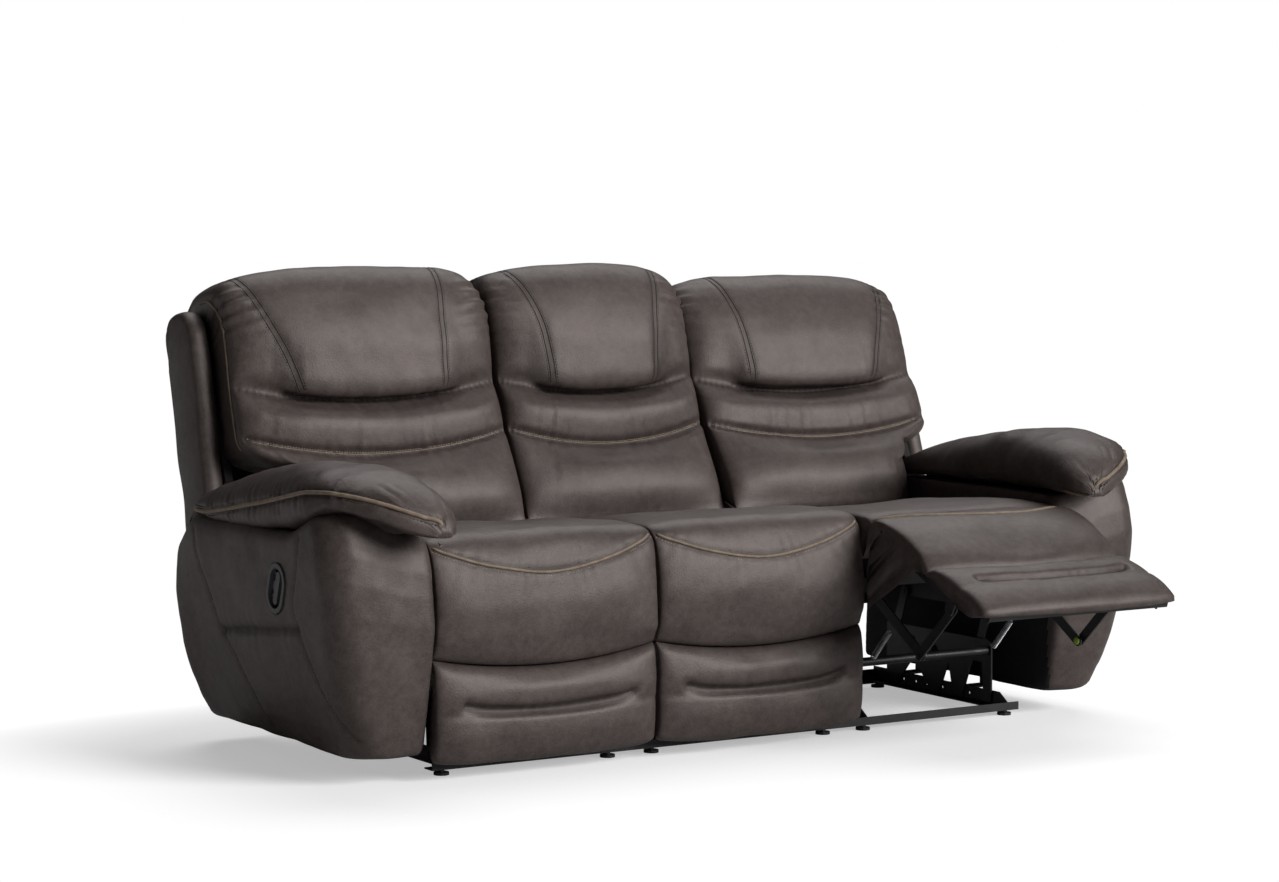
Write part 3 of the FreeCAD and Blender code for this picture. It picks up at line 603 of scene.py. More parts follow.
class Surface:
    """A closed form: stations across, each with a loop whose first half is the outer side."""

    def __init__(self, grid: Array) -> None:
        """Keeps the (M, N, 3) grid of points."""
        self.grid = grid
        # Strength of the painted shade along seams, one number for each point.
        self.seam_shade = np.zeros(grid.shape[:2])

    @staticmethod
    def pillow(across: Across, front: Array, back: Array, spacing: float = SPACING) -> "Surface":
        """A cushion from an outer and an inner side section.

        Args:
            across: stations.
            front: (K, M, 2) key points of the outer side.
            back: (L, M, 2) key points of the inner side, from the same end.
            spacing: step along the section.

        Returns:
            The closed surface.
        """
        outer = spline(front, spacing)
        inner = spline(back, spacing)
        index = np.linspace(0, len(inner) - 1, len(outer))
        low = np.floor(index).astype(int)
        high = np.minimum(low + 1, len(inner) - 1)
        share = (index - low)[:, None, None]
        inner = inner[low] * (1 - share) + inner[high] * share
        loop = np.concatenate([outer, inner[::-1]])
        grid = np.empty((len(across.x), len(loop), 3))
        grid[..., 0] = across.x[:, None]
        grid[..., 1:] = np.moveaxis(loop, 0, 1)
        return Surface(grid)

    def normals(self) -> Array:
        """Outward unit normals of the grid's points.

        Returns:
            (M, N, 3) unit vectors.
        """
        along = np.gradient(self.grid, axis=0)
        around = np.roll(self.grid, -1, axis=1) - np.roll(self.grid, 1, axis=1)
        normal = np.cross(along, around)
        normal /= np.linalg.norm(normal, axis=-1, keepdims=True) + 1e-9
        centre = self.grid.reshape(-1, 3).mean(axis=0)
        if np.sum(normal * (self.grid - centre)) < 0:
            normal = -normal
        return normal

    def _nearest(self, line: Array) -> tuple:
        """Distance from each point to the line, and the line's nearest point's number.

        Args:
            line: (K, 3) points.

        Returns:
            (M, N) distances and (M, N) numbers.
        """
        best = np.full(self.grid.shape[:2], 1e9)
        index = np.zeros(self.grid.shape[:2], int)
        for k, point in enumerate(line):
            gap = self.grid - point
            gap = np.einsum("...i,...i", gap, gap)
            nearer = gap < best
            best[nearer] = gap[nearer]
            index[nearer] = k
        return np.sqrt(best), index

    def snap(self, line: Array, count: int = 6, passes: int = 2) -> tuple:
        """Lays a line on the surface.

        Args:
            line: (K, 3) points near the surface.
            count: grid points that each point is averaged from.
            passes: rounds of smoothing.

        Returns:
            The points on the surface and their normals.
        """
        points, normals = self.grid.reshape(-1, 3), self.normals().reshape(-1, 3)
        on, up = [], []
        for point in line:
            gap = np.linalg.norm(points - point, axis=1)
            near = np.argpartition(gap, count)[:count]
            weight = 1.0 / (gap[near] + 0.5) ** 2
            weight /= weight.sum()
            normal = weight @ normals[near]
            normal /= np.linalg.norm(normal) + 1e-9
            flat = weight @ points[near]
            on.append(point + normal * np.dot(flat - point, normal))
            up.append(normal)
        on, up = np.array(on), np.array(up)
        for _ in range(passes):
            on[1:-1] = 0.25 * on[:-2] + 0.5 * on[1:-1] + 0.25 * on[2:]
            up[1:-1] = 0.25 * up[:-2] + 0.5 * up[1:-1] + 0.25 * up[2:]
        return on, up / np.linalg.norm(up, axis=1, keepdims=True)

    def carve(self, line: Array, depth: float, width: float, pleat: float = 0.0, wave: float = 24.0,
              reach: float = 40.0, dark: float = 0.8, seed: int = 1) -> None:
        """Draws the surface in along a seam, lets pleats run out from it and paints shade into the groove.

        Args:
            line: (K, 3) seam.
            depth: how far the seam is drawn in.
            width: half width of the groove.
            pleat: height of the pleats.
            wave: length from pleat to pleat along the seam.
            reach: how far the pleats run out.
            dark: strength of the painted shade along the seam.
            seed: varies the pleats.
        """
        gap, index = self._nearest(line)
        normal = self.normals()
        step = np.linalg.norm(line[1] - line[0])
        move = -depth * np.exp(-(gap / width) ** 2)
        if pleat:
            rng = np.random.default_rng(seed)
            run = index * step
            phase = 2 * np.pi * run / wave + 1.7 * np.sin(run / wave * 0.9 + rng.uniform(0, 6)) + rng.uniform(0, 6)
            size = 0.55 + 0.45 * np.sin(run / wave * 1.3 + rng.uniform(0, 6))
            ends = np.minimum(smooth(index, 0, 6), smooth(len(line) - index, 0, 6))
            move += pleat * size * ends * np.sin(phase) * np.exp(-gap / reach) * smooth(gap, 0.0, 5.0)
        self.grid = self.grid + normal * move[..., None]
        # Painted shade: how far the colour is darkened along the seam, where shade falls in the groove.
        self.seam_shade = np.maximum(self.seam_shade, dark * np.exp(-(gap / (0.55 * width)) ** 2))

    def crumple(self, height: float, scale: float, seed: int, mask: float | Array = 1.0) -> None:
        """Adds soft dents and swells."""
        move = height * ripple(self.grid, scale, seed) * mask
        self.grid = self.grid + self.normals() * move[..., None]

    def faces(self) -> Array:
        """Quads and end strips of the closed grid, as point numbers.

        Returns:
            (F, 4) point numbers.
        """
        m, n = self.grid.shape[:2]
        a = np.arange(n // 2 - 1)
        strip = np.stack([a, n - 1 - a, n - 2 - a, a + 1], axis=-1)
        other = strip[:, ::-1] + (m - 1) * n
        return np.concatenate([tube_faces(m, n), strip, other])

    def build(self, name: str, place: Place, zone: Zone, material: bpy.types.Material) -> bpy.types.Object:
        """Makes the mesh object in the sofa's frame."""
        points = place.row(self.grid, zone).reshape(-1, 3)
        return make_object(name, points, self.faces(), material, self.seam_shade.reshape(-1))


def make_object(name: str, points: Array, faces: Array, material: bpy.types.Material,
                seam_shade: Optional[Array] = None) -> bpy.types.Object:
    """A smooth mesh object at the origin, with doubles merged and faces pointing out.

    Args:
        name: object name.
        points: (V, 3) in metres.
        faces: (F, 3 or 4) point numbers.
        material: its finish.
        seam_shade: optional strength of the painted shade along seams, for each point.

    Returns:
        The linked object.
    """
    mesh = bpy.data.meshes.new(name)
    count, corners = faces.shape
    mesh.vertices.add(len(points))
    mesh.vertices.foreach_set("co", points.astype(np.float32).ravel())
    mesh.loops.add(count * corners)
    mesh.loops.foreach_set("vertex_index", faces.astype(np.int32).ravel())
    mesh.polygons.add(count)
    mesh.polygons.foreach_set("loop_start", (np.arange(count) * corners).astype(np.int32))
    mesh.update(calc_edges=True)
    # Keeps the strength of the painted shade along seams as a point attribute for the leather.
    if seam_shade is not None:
        mesh.attributes.new("seam_shade", "FLOAT", "POINT").data.foreach_set("value", seam_shade.astype(np.float32))
    work = bmesh.new()
    work.from_mesh(mesh)
    bmesh.ops.remove_doubles(work, verts=work.verts, dist=1e-5)
    bmesh.ops.recalc_face_normals(work, faces=work.faces)
    work.to_mesh(mesh)
    work.free()
    mesh.polygons.foreach_set("use_smooth", np.ones(len(mesh.polygons), bool))
    mesh.materials.append(material)
    made = bpy.data.objects.new(name, mesh)
    bpy.context.scene.collection.objects.link(made)
    return made


def frames_along(line: Array, up: Array) -> tuple:
    """Unit tangents, side directions and corrected ups of a line.

    Args:
        line: (N, 3) points.
        up: (N, 3) directions away from the surface.

    Returns:
        Three (N, 3) arrays.
    """
    tangent = np.gradient(line, axis=0)
    tangent /= np.linalg.norm(tangent, axis=1, keepdims=True) + 1e-12
    side = np.cross(tangent, up)
    side /= np.linalg.norm(side, axis=1, keepdims=True) + 1e-12
    return tangent, side, np.cross(side, tangent)


@dataclass
class Trim:
    """Welts and stitch rows laid along seams, gathered into one object for each body and finish."""

    name: str
    material: bpy.types.Material
    points: list = field(default_factory=list)
    faces: list = field(default_factory=list)

    def _take(self, points: Array, faces: Array) -> None:
        """Adds one closed form.

        Args:
            points: (N, 3) points.
            faces: (F, 4) point numbers, counted from 0.
        """
        base = sum(len(part) for part in self.points)
        self.points.append(points)
        self.faces.append(faces + base)

    def welt(self, line: Array, up: Array, radius: float, lift: float = 0.0, sides: int = 8) -> None:
        """A round tube along a line, closed at its ends by drawing in.

        Args:
            line: (K, 3) points.
            up: (K, 3) normals of what it lies on.
            radius: tube radius.
            lift: distance of its middle above the line.
            sides: corners round the tube.
        """
        _, side, up = frames_along(line, up)
        angle = np.linspace(0, 2 * np.pi, sides, endpoint=False)
        size = np.full(len(line), radius)
        size[[0, -1]] = 0.05 * radius
        ring = (np.cos(angle)[None, :, None] * side[:, None] + np.sin(angle)[None, :, None] * up[:, None])
        points = line[:, None] + up[:, None] * lift + ring * size[:, None, None]
        self._take(points.reshape(-1, 3), tube_faces(len(line), sides))

    def stitches(self, line: Array, up: Array, aside: float, length: float = 4.2, pitch: float = 6.5,
                 radius: float = 0.7, lift: float = 0.3) -> None:
        """A row of short threads beside a line: each is a six-sided spindle.

        Args:
            line: (K, 3) points.
            up: (K, 3) normals of what it lies on.
            aside: distance from the line.
            length: length of a stitch.
            pitch: from stitch to stitch.
            radius: thickness.
            lift: distance of its middle above the surface.
        """
        tangent, side, up = frames_along(line, up)
        run = run_along(line)
        at = np.arange(pitch / 2, run[-1], pitch)
        take = lambda part: np.stack([np.interp(at, run, part[:, k]) for k in range(3)], axis=1)
        middle = take(line) + take(side) * aside + take(up) * lift
        along, across, upward = take(tangent), take(side), take(up)
        angle = np.linspace(0, 2 * np.pi, 6, endpoint=False)
        offsets, sizes = np.array([-0.5, -0.36, 0.36, 0.5]) * length, np.array([0.15, 1.0, 1.0, 0.15]) * radius
        ring = np.cos(angle)[:, None, None] * across + np.sin(angle)[:, None, None] * upward
        points = (middle[None, None] + offsets[:, None, None, None] * along
                  + sizes[:, None, None, None] * ring[None])
        points = np.moveaxis(points, 2, 0).reshape(len(at), 24, 3)
        quads = (tube_faces(4, 6)[None] + 24 * np.arange(len(at))[:, None, None]).reshape(-1, 4)
        self._take(points.reshape(-1, 3), quads)

    def build(self, place: Place, zone: Zone) -> bpy.types.Object:
        """Makes the object, riding with its zone.

        Args:
            place: where the piece stands.
            zone: part of the seat that it belongs to.

        Returns:
            The object.
        """
        points = place.row(np.concatenate(self.points), zone)
        made = make_object(self.name, points, np.concatenate(self.faces), self.material)
        log.info("%s: %d points", self.name, len(points))
        return made


def frame_front(z: Array) -> Array:
    """Y of the back frame's front edge."""
    return 585.0 + 0.33 * (z - 400.0)


def shell_rear(z: Array) -> Array:
    """Y of the outer back's rear face."""
    return 750.0 + 0.23 * (z - 411.0)


def keyed(rows: Sequence[tuple], count: int) -> Array:
    """Key points as (K, M, 2) from numbers or arrays over the stations."""
    return np.array([[np.broadcast_to(part, count) for part in row] for row in rows]).transpose(0, 2, 1)


def upholster(piece: bpy.types.Object, nodes: Sequence[str]) -> None:
    """Lets a soft piece replace its solids by hiding them.

    Args:
        piece: the object.
        nodes: solids that it stands for.
    """
    if nodes:
        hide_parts(*nodes)
    log.info("%s: %d points", piece.name, len(piece.data.vertices))


@dataclass
class Seat:
    """The soft pieces of one seat: cover, ottoman pad, back, wing and outer back."""

    place: Place
    finishes: Finishes

    @property
    def ends(self) -> bool:
        """Whether this is one of the two end seats."""
        return self.place.side != 0

    def title(self, part: str) -> str:
        """A piece's name."""
        return f"{self.place.name}_{part}"

    def settle(self, piece: bpy.types.Object, zone: Zone, nodes: Sequence[str] = (),
               fill: Optional[float] = 0.7) -> None:
        """Lets a piece ride on its zone's body, or leaves an end seat's cover in its built pose, and upholsters it.

        Args:
            piece: the object.
            zone: part of the seat that it belongs to.
            nodes: parts whose solids it stands for.
            fill: not used.
        """
        if zone is Zone.COVER and self.ends:
            travel = self.place.shift()[0] - FRAME_Y
            self.place.body(Zone.SEAT)
            self.place.body(Zone.LEGREST)
            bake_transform(piece)
        else:
            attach(piece, self.place.body(zone))
        upholster(piece, [self.title(node) for node in nodes])

    def build(self) -> None:
        """Builds every soft piece of the seat."""
        self.cover()
        self.ottoman_pad()
        self.back()
        self.outer_back()
        if self.ends:
            self.wing()

    def trim(self, part: str, material: bpy.types.Material) -> Trim:
        """An empty collection of welts or threads."""
        return Trim(self.title(part), material)

    def sew(self, trims: Sequence[Trim], zone: Zone) -> None:
        """Builds the welts and threads that hold anything.

        Args:
            trims: the collections.
            zone: part of the seat that they belong to.
        """
        for trim in trims:
            if trim.points:
                self.settle(trim.build(self.place, zone), zone, fill=None)

    def groove_height(self, x: Array) -> Array:
        """Height of the seam between the upper and lower front pads."""
        return 221.0 + 27.0 * (x / PAD_HALF) ** 2

    def cover(self) -> None:
        """Seat cushion and upper front pad under one cover that bends at the front edge."""
        across = Across.make(-CUSHION_HALF + 1, CUSHION_HALF - 1, 60.0, 3.2)
        f, x, m = across.f, across.x, len(across.x)
        groove = self.groove_height(x)
        low = 1.0 - f
        front = keyed([
            (470, 392), (470 - 4 * low, 408), (448, 432 - 8 * low), (340, 466 - 14 * low), (200, 489 - 20 * low),
            (70, 498 - 20 * low), (-15, 498 - 20 * low), (-52 + 6 * low, 492 - 18 * low),
            (-76 + 12 * low, 472 - 8 * low), (-93 + 18 * low, 438), (-106 + 24 * low, 395), (-114 + 28 * low, 345),
            (-111 + 27 * low, 290), (-101 + 22 * low, groove + 24), (-88 + 14 * low, groove + 5),
            (-72, groove + 0.9),
        ], m)
        back = keyed([(468, 391), (200, 390), (20, 390), (-24, 392), (-40, 412), (-60, 432), (-69 + 14 * low, 420),
                      (-69 + 28 * low, 340), (-69 + 14 * low, 285), (-66, groove + 6), (-65, groove - 2)], m)
        shape = Surface.pillow(across, front, back)
        seam = curve([(-254, -66, 474), (-225, -79, 460), (-130, -94, 431), (0, -104, 414), (130, -94, 431),
                      (225, -79, 460), (254, -66, 474)])
        seam, up = shape.snap(seam)
        shape.carve(seam, 3.0, 9.0, 0.9, 26.0, 30.0, 0.55, 3)
        seated = smooth(np.abs(shape.grid[..., 2] - self.groove_height(shape.grid[..., 0])), 6.0, 50.0)
        shape.crumple(2.4, 210.0, 11 + self.place.side, seated)
        shape.crumple(0.5, 80.0, 21 + self.place.side, seated)
        shape.grid[..., 0] = np.clip(shape.grid[..., 0], 0.5 - CUSHION_HALF, CUSHION_HALF - 0.5)
        seam, up = shape.snap(seam)
        welt = self.trim("seat_welt", self.finishes.welt)
        pale = self.trim("seat_pale", self.finishes.pale_thread)
        dark = self.trim("seat_dark", self.finishes.dark_thread)
        welt.welt(seam, up, 3.1, 1.4)
        pale.stitches(seam, up, 8.0, 4.6, 6.4, 0.95)
        dark.stitches(seam, up, -8.0, 4.6, 6.4, 0.95)
        piece = shape.build(self.title("seat_cover"), self.place, Zone.COVER, self.finishes.leather)
        self.settle(piece, Zone.COVER, ("seat_cushion", "legrest_upper_pad" if self.ends else "front_upper_pad"))
        self.sew((welt, pale, dark), Zone.COVER)

    def ottoman_pad(self) -> None:
        """Lower front pad with a smile-shaped channel that fades out to both sides."""
        across = Across.make(-PAD_HALF, PAD_HALF, 40.0, 3.2)
        f, x, m = across.f, across.x, len(across.x)
        groove, low = self.groove_height(x), 1.0 - f
        bottom = 27.0 + 20.0 * low
        front = keyed([
            (-71, groove + 0.2), (-86 + 12 * low, groove - 4), (-101 + 20 * low, groove - 22), (-110 + 26 * low, 180),
            (-109 + 26 * low, 150), (-106 + 24 * low, 135), (-109 + 26 * low, 118), (-109 + 28 * low, 85),
            (-99 + 24 * low, 50), (-84 + 14 * low, bottom + 4), (-71, bottom + 2),
        ], m)
        back = keyed([(-69, groove - 0.2), (-69 + 12 * low, 170), (-69 + 20 * low, 90), (-69, bottom + 6)], m)
        shape = Surface.pillow(across, front, back)
        channel = curve([(-196, -108, 152), (-150, -110, 142), (-80, -110, 137), (0, -108, 135), (80, -110, 137),
                         (150, -110, 142), (196, -108, 152)])
        channel, _ = shape.snap(channel)
        # The channel's groove gets nearly full painted shade.
        shape.carve(channel, 14.0, 9.5, 0.8, 30.0, 22.0, 0.95, 5)
        seated = smooth(np.abs(shape.grid[..., 2] - self.groove_height(shape.grid[..., 0])), 6.0, 40.0)
        shape.crumple(1.2, 140.0, 31 + self.place.side, seated)
        piece = shape.build(self.title("ottoman_cover"), self.place, Zone.OTTOMAN, self.finishes.leather)
        self.settle(piece, Zone.OTTOMAN, ("ottoman_pad" if self.ends else "front_lower_pad",))

    def back(self) -> None:
        """Back cushion: bolster, lumbar roll and overhanging head roll under one cover."""
        high = BACK_OUTER if self.ends else CUSHION_HALF
        middle = (high - CUSHION_HALF) / 2
        half = (high + CUSHION_HALF) / 2
        across = Across.make(-CUSHION_HALF + 1, high - 1, 75.0, 2.9)
        x, f, m = across.x, across.f, len(across.x)
        low = 1.0 - f
        u = (x - middle) / half
        inner, outer = (-112.0, 232.0) if self.ends else (-132.0, 132.0)
        roll = smooth(x, inner - 62, inner + 8) * smooth(-x, -outer - 62, -outer + 8)
        tan = 613.0 + 42.0 * u ** 2
        head = 728.0 + 34.0 * u ** 2
        outer_side = x > 0 if self.ends else np.zeros(m, bool)
        edge = lambda z: np.where(outer_side, 560.0 + 0.32 * (np.asarray(z) - 577.0),
                                  452.0 + 0.486 * (np.minimum(z, 720.0) - 436.0)
                                  + 0.345 * np.maximum(np.asarray(z) - 720.0, 0.0))

        def key(y: Array, z: Array, y_edge: Optional[Array] = None, z_edge: Optional[Array] = None) -> tuple:
            """A key point that goes from full in the middle to the side edge.

            Args:
                y: depth in the middle.
                z: height in the middle.
                y_edge: depth at the side edge, or None for the same.
                z_edge: height at the side edge, or None for the same.

            Returns:
                Y and z over the stations.
            """
            z_edge = z if z_edge is None else z_edge
            y_edge = edge(z_edge) if y_edge is None else y_edge
            return (y * f + y_edge * low, z * f + z_edge * low)

        deep = 12.0 + 26.0 * roll
        front = keyed([
            key(592.0, 430.0, 594.0), key(520.0, 432.0, 540.0), key(462.0, 438.0), key(449.0, 470.0),
            key(447.0, 520.0), key(470.0, 570.0), key(508.0, tan - 18), key(531.0, tan), key(526.0, tan + 18),
            key(529.0, 0.5 * (tan + head) + 6), key(548.0, head - 24), key(562.0 + deep, head),
            key(578.0 - 16 * roll, head + 9 + 4 * (1 - roll)), key(570.0 - 17 * roll, head + 34),
            key(570.0 - 11 * roll, 810.0), key(578.0 - 6 * roll, 870.0), key(600.0, 934.0, None, 905.0),
            key(640.0, 990.0, 672.0, 928.0), key(694.0, 1017.0, 706.0, 944.0), key(756.0, 1004.0, 760.0, 946.0),
            key(816.0, 970.0, 812.0, 936.0), key(850.0, 927.0, 849.0, 918.0), key(860.0, 902.0, 859.0),
        ], m)
        back = keyed([(596, 431), (frame_front(550), 550), (frame_front(700), 700), (frame_front(860), 860),
                      (frame_front(895) + 4, 897), (800, 902), (858, 902)], m)
        shape = Surface.pillow(across, front, back)
        us = np.linspace(-0.965, 0.965, 41)
        xs = middle + half * us
        yy = np.interp(xs, x, front[7, :, 0])
        tan_line = np.stack([xs, yy, 613.0 + 42.0 * us ** 2], axis=1)
        tan_line, _ = shape.snap(tan_line)
        shape.carve(tan_line, 5.0, 10.0, 1.6, 46.0, 60.0, 0.7, 7 + self.place.side)
        yy = np.interp(xs, x, front[11, :, 0])
        head_line = np.stack([xs, yy, 728.0 + 34.0 * us ** 2], axis=1)
        head_line, _ = shape.snap(head_line)
        # The seam under the head roll gets strong painted shade.
        shape.carve(head_line, 4.0, 10.0, 1.4, 40.0, 46.0, 0.9, 9 + self.place.side)
        seams = []
        for bottom, mid, top, rear in ((inner, inner - 12, inner - 28, inner - 34) if self.ends else
                                       (inner, -154.0, -182.0, -196.0),
                                       (outer, outer + 62, outer + 96, outer + 102) if self.ends else
                                       (outer, 154.0, 182.0, 196.0)):
            line = curve([(bottom, 566, 752), (0.5 * bottom + 0.5 * mid, 562, 830), (mid, 592, 905),
                          (top, 655, 985), (rear, 770, 992)])
            line, _ = shape.snap(line)
            seams.append(line)
            shape.carve(line, 1.8, 13.0, 0.0, dark=0.12)
        points = shape.grid
        corner = np.maximum(smooth(points[..., 0], outer + 30, high),
                            smooth(-points[..., 0], -inner + 30, CUSHION_HALF))
        corner = corner * bump(points[..., 2], 940.0, 75.0)
        uneven = 0.5 + 0.5 * np.tanh(1.6 * ripple(points, 90.0, 45 + self.place.side))
        folds = np.sin(points[..., 2] / 5.2 + points[..., 1] / 11.0 + points[..., 0] / 26.0)
        shape.grid = points + shape.normals() * (4.2 * corner * uneven * folds)[..., None]
        shape.crumple(2.4, 260.0, 41 + self.place.side)
        shape.crumple(0.6, 110.0, 51 + self.place.side)
        if self.ends:
            x = shape.grid[..., 0]
            narrow = 200.0 + (x - 200.0) * (CUSHION_HALF - 202.0) / (high - 200.0)
            ledge = np.interp(shape.grid[..., 1] - 50.0, [350, 470, 530, 590, 620, 655], [606, 578, 562, 550, 500, 450])
            across_pad = np.clip(np.abs(1.0 - (x - 264.0) / 119.0), 0.0, 1.0)
            ledge = 500.0 + (ledge - 500.0) * (0.34 + 0.66 * (1.0 - across_pad ** 2.44) ** 0.45)
            share = np.sqrt(1.0 - (1.0 - np.clip((shape.grid[..., 2] - ledge - 16.0) / 75.0, 0.0, 1.0)) ** 2)
            shape.grid[..., 0] = np.where(x > 200.0, narrow + (x - narrow) * share, x)
        shape.grid[..., 0] = np.clip(shape.grid[..., 0], 0.5 - CUSHION_HALF, high if self.ends else CUSHION_HALF - 0.5)
        tan_line, up = shape.snap(tan_line)
        welt = self.trim("back_welt", self.finishes.welt)
        tan = self.trim("lumbar_tan_stitches", self.finishes.tan_thread)
        dark = self.trim("back_dark_stitches", self.finishes.dark_thread)
        tan.stitches(tan_line, up, -3.5, 4.6, 6.4, 0.95, 0.6)
        tan.welt(tan_line, up, 0.7, 0.2, 6)
        head_line, up = shape.snap(head_line)
        dark.stitches(head_line, up, 5.0, 4.4, 6.8, 0.95)
        for line in seams:
            line, up = shape.snap(line)
            side = frames_along(line, up)[1]
            for aside in (-6.0, 6.0):
                dark.welt(line + side * aside, up, 1.3, 0.2, 6)
                dark.stitches(line, up, aside * 1.7, 4.4, 6.8, 0.9)
        if self.ends:
            edge_line = curve([(high - 4, 576, 626), (high - 4, 600, 690), (high - 4, 637, 822), (high - 8, 664, 900),
                               (high - 10, 722, 942), (high - 10, 780, 936)])
            edge_line, up = shape.snap(edge_line)
            welt.welt(edge_line, up, 2.6, 1.0)
        piece = shape.build(self.title("back_cover"), self.place, Zone.BACK, self.finishes.leather)
        self.settle(piece, Zone.BACK, ("back_bolster", "back_lumbar_roll", "back_head_roll"))
        self.sew((welt, tan, dark), Zone.BACK)

    def wing(self) -> None:
        """Padded wing beside the back, with a seam round its outer face."""
        low, high = BACK_OUTER + 5.0, WING_OUTER - 1.0
        rows = np.linspace(-1.0, 1.0, 17)
        angle = np.arcsin(np.clip(np.abs(rows), 0, 1))
        x = 0.5 * (low + high) + 0.5 * (high - low) * rows
        inset = 17.0 * (1.0 - np.cos(angle) ** 0.8)
        count = len(rows)
        front = keyed([
            (724, 443 + inset), (668, 499 + inset), (635 + inset, 524), (650 + inset, 620), (671 + inset, 735),
            (695 + inset, 838), (709 + inset, 884 - 0.6 * inset), (744, 914 - inset), (786, 921 - inset),
            (826, 908 - inset), (shell_rear(880) - 6 - inset, 872 - 0.5 * inset),
        ], count)
        back = keyed([(730, 438 + inset), (shell_rear(428) - 4 - inset, 430 + inset), (shell_rear(640) - inset, 640),
                      (shell_rear(858) - 2 - inset, 858)], count)
        shape = Surface.pillow(Across(x, rows, rows), front, back)
        seam, _ = shape.snap(curve([(high, 690, 505), (high, 694, 580), (high, 716, 735), (high, 742, 850),
                                    (high, 780, 888), (high, 824, 862), (high, 834, 800)]))
        shape.carve(seam, 2.2, 7.0, 0.7, 22.0, 26.0, 0.6, 15)
        shape.crumple(1.6, 110.0, 61 + self.place.side)
        piece = shape.build(self.title("wing_cover"), self.place, Zone.BACK, self.finishes.leather)
        self.settle(piece, Zone.BACK, ("back_wing",))

    def outer_back(self) -> None:
        """Upholstered board behind the back, gently crowned."""
        high = BACK_OUTER + 4.0 if self.ends else CUSHION_HALF
        levels = np.linspace(0.0, 1.0, 90)
        z = 210.0 + (900.0 - 210.0) * levels
        wide = np.full(len(z), high)
        if self.ends:
            wide = np.clip(266 + (z - 430) / 40 * (high - 266), 266, high)
        thick = 14.0
        columns = 70
        t = np.linspace(0.0, 1.0, columns)
        rise = (1 - (2 * t - 1) ** 8)[None, :] * np.minimum(1, 1 - (2 * levels - 1) ** 10)[:, None]
        x = -CUSHION_HALF + 0.5 + (wide[:, None] - 1.0 + CUSHION_HALF) * t[None, :]
        rear = np.stack([x, shell_rear(z)[:, None] - 5.0 + 7.0 * rise, np.broadcast_to(z[:, None], x.shape)], -1)
        inner = np.stack([x, shell_rear(z)[:, None] - thick + 0.5 + 0 * x, np.broadcast_to(z[:, None], x.shape)], -1)
        shape = Surface(np.concatenate([rear, inner[:, ::-1]], axis=1))
        shape.crumple(0.9, 150.0, 71 + self.place.side)
        piece = shape.build(self.title("outer_back_cover"), self.place, Zone.BACK, self.finishes.leather)
        self.settle(piece, Zone.BACK, ("back_outer_panel",), None)


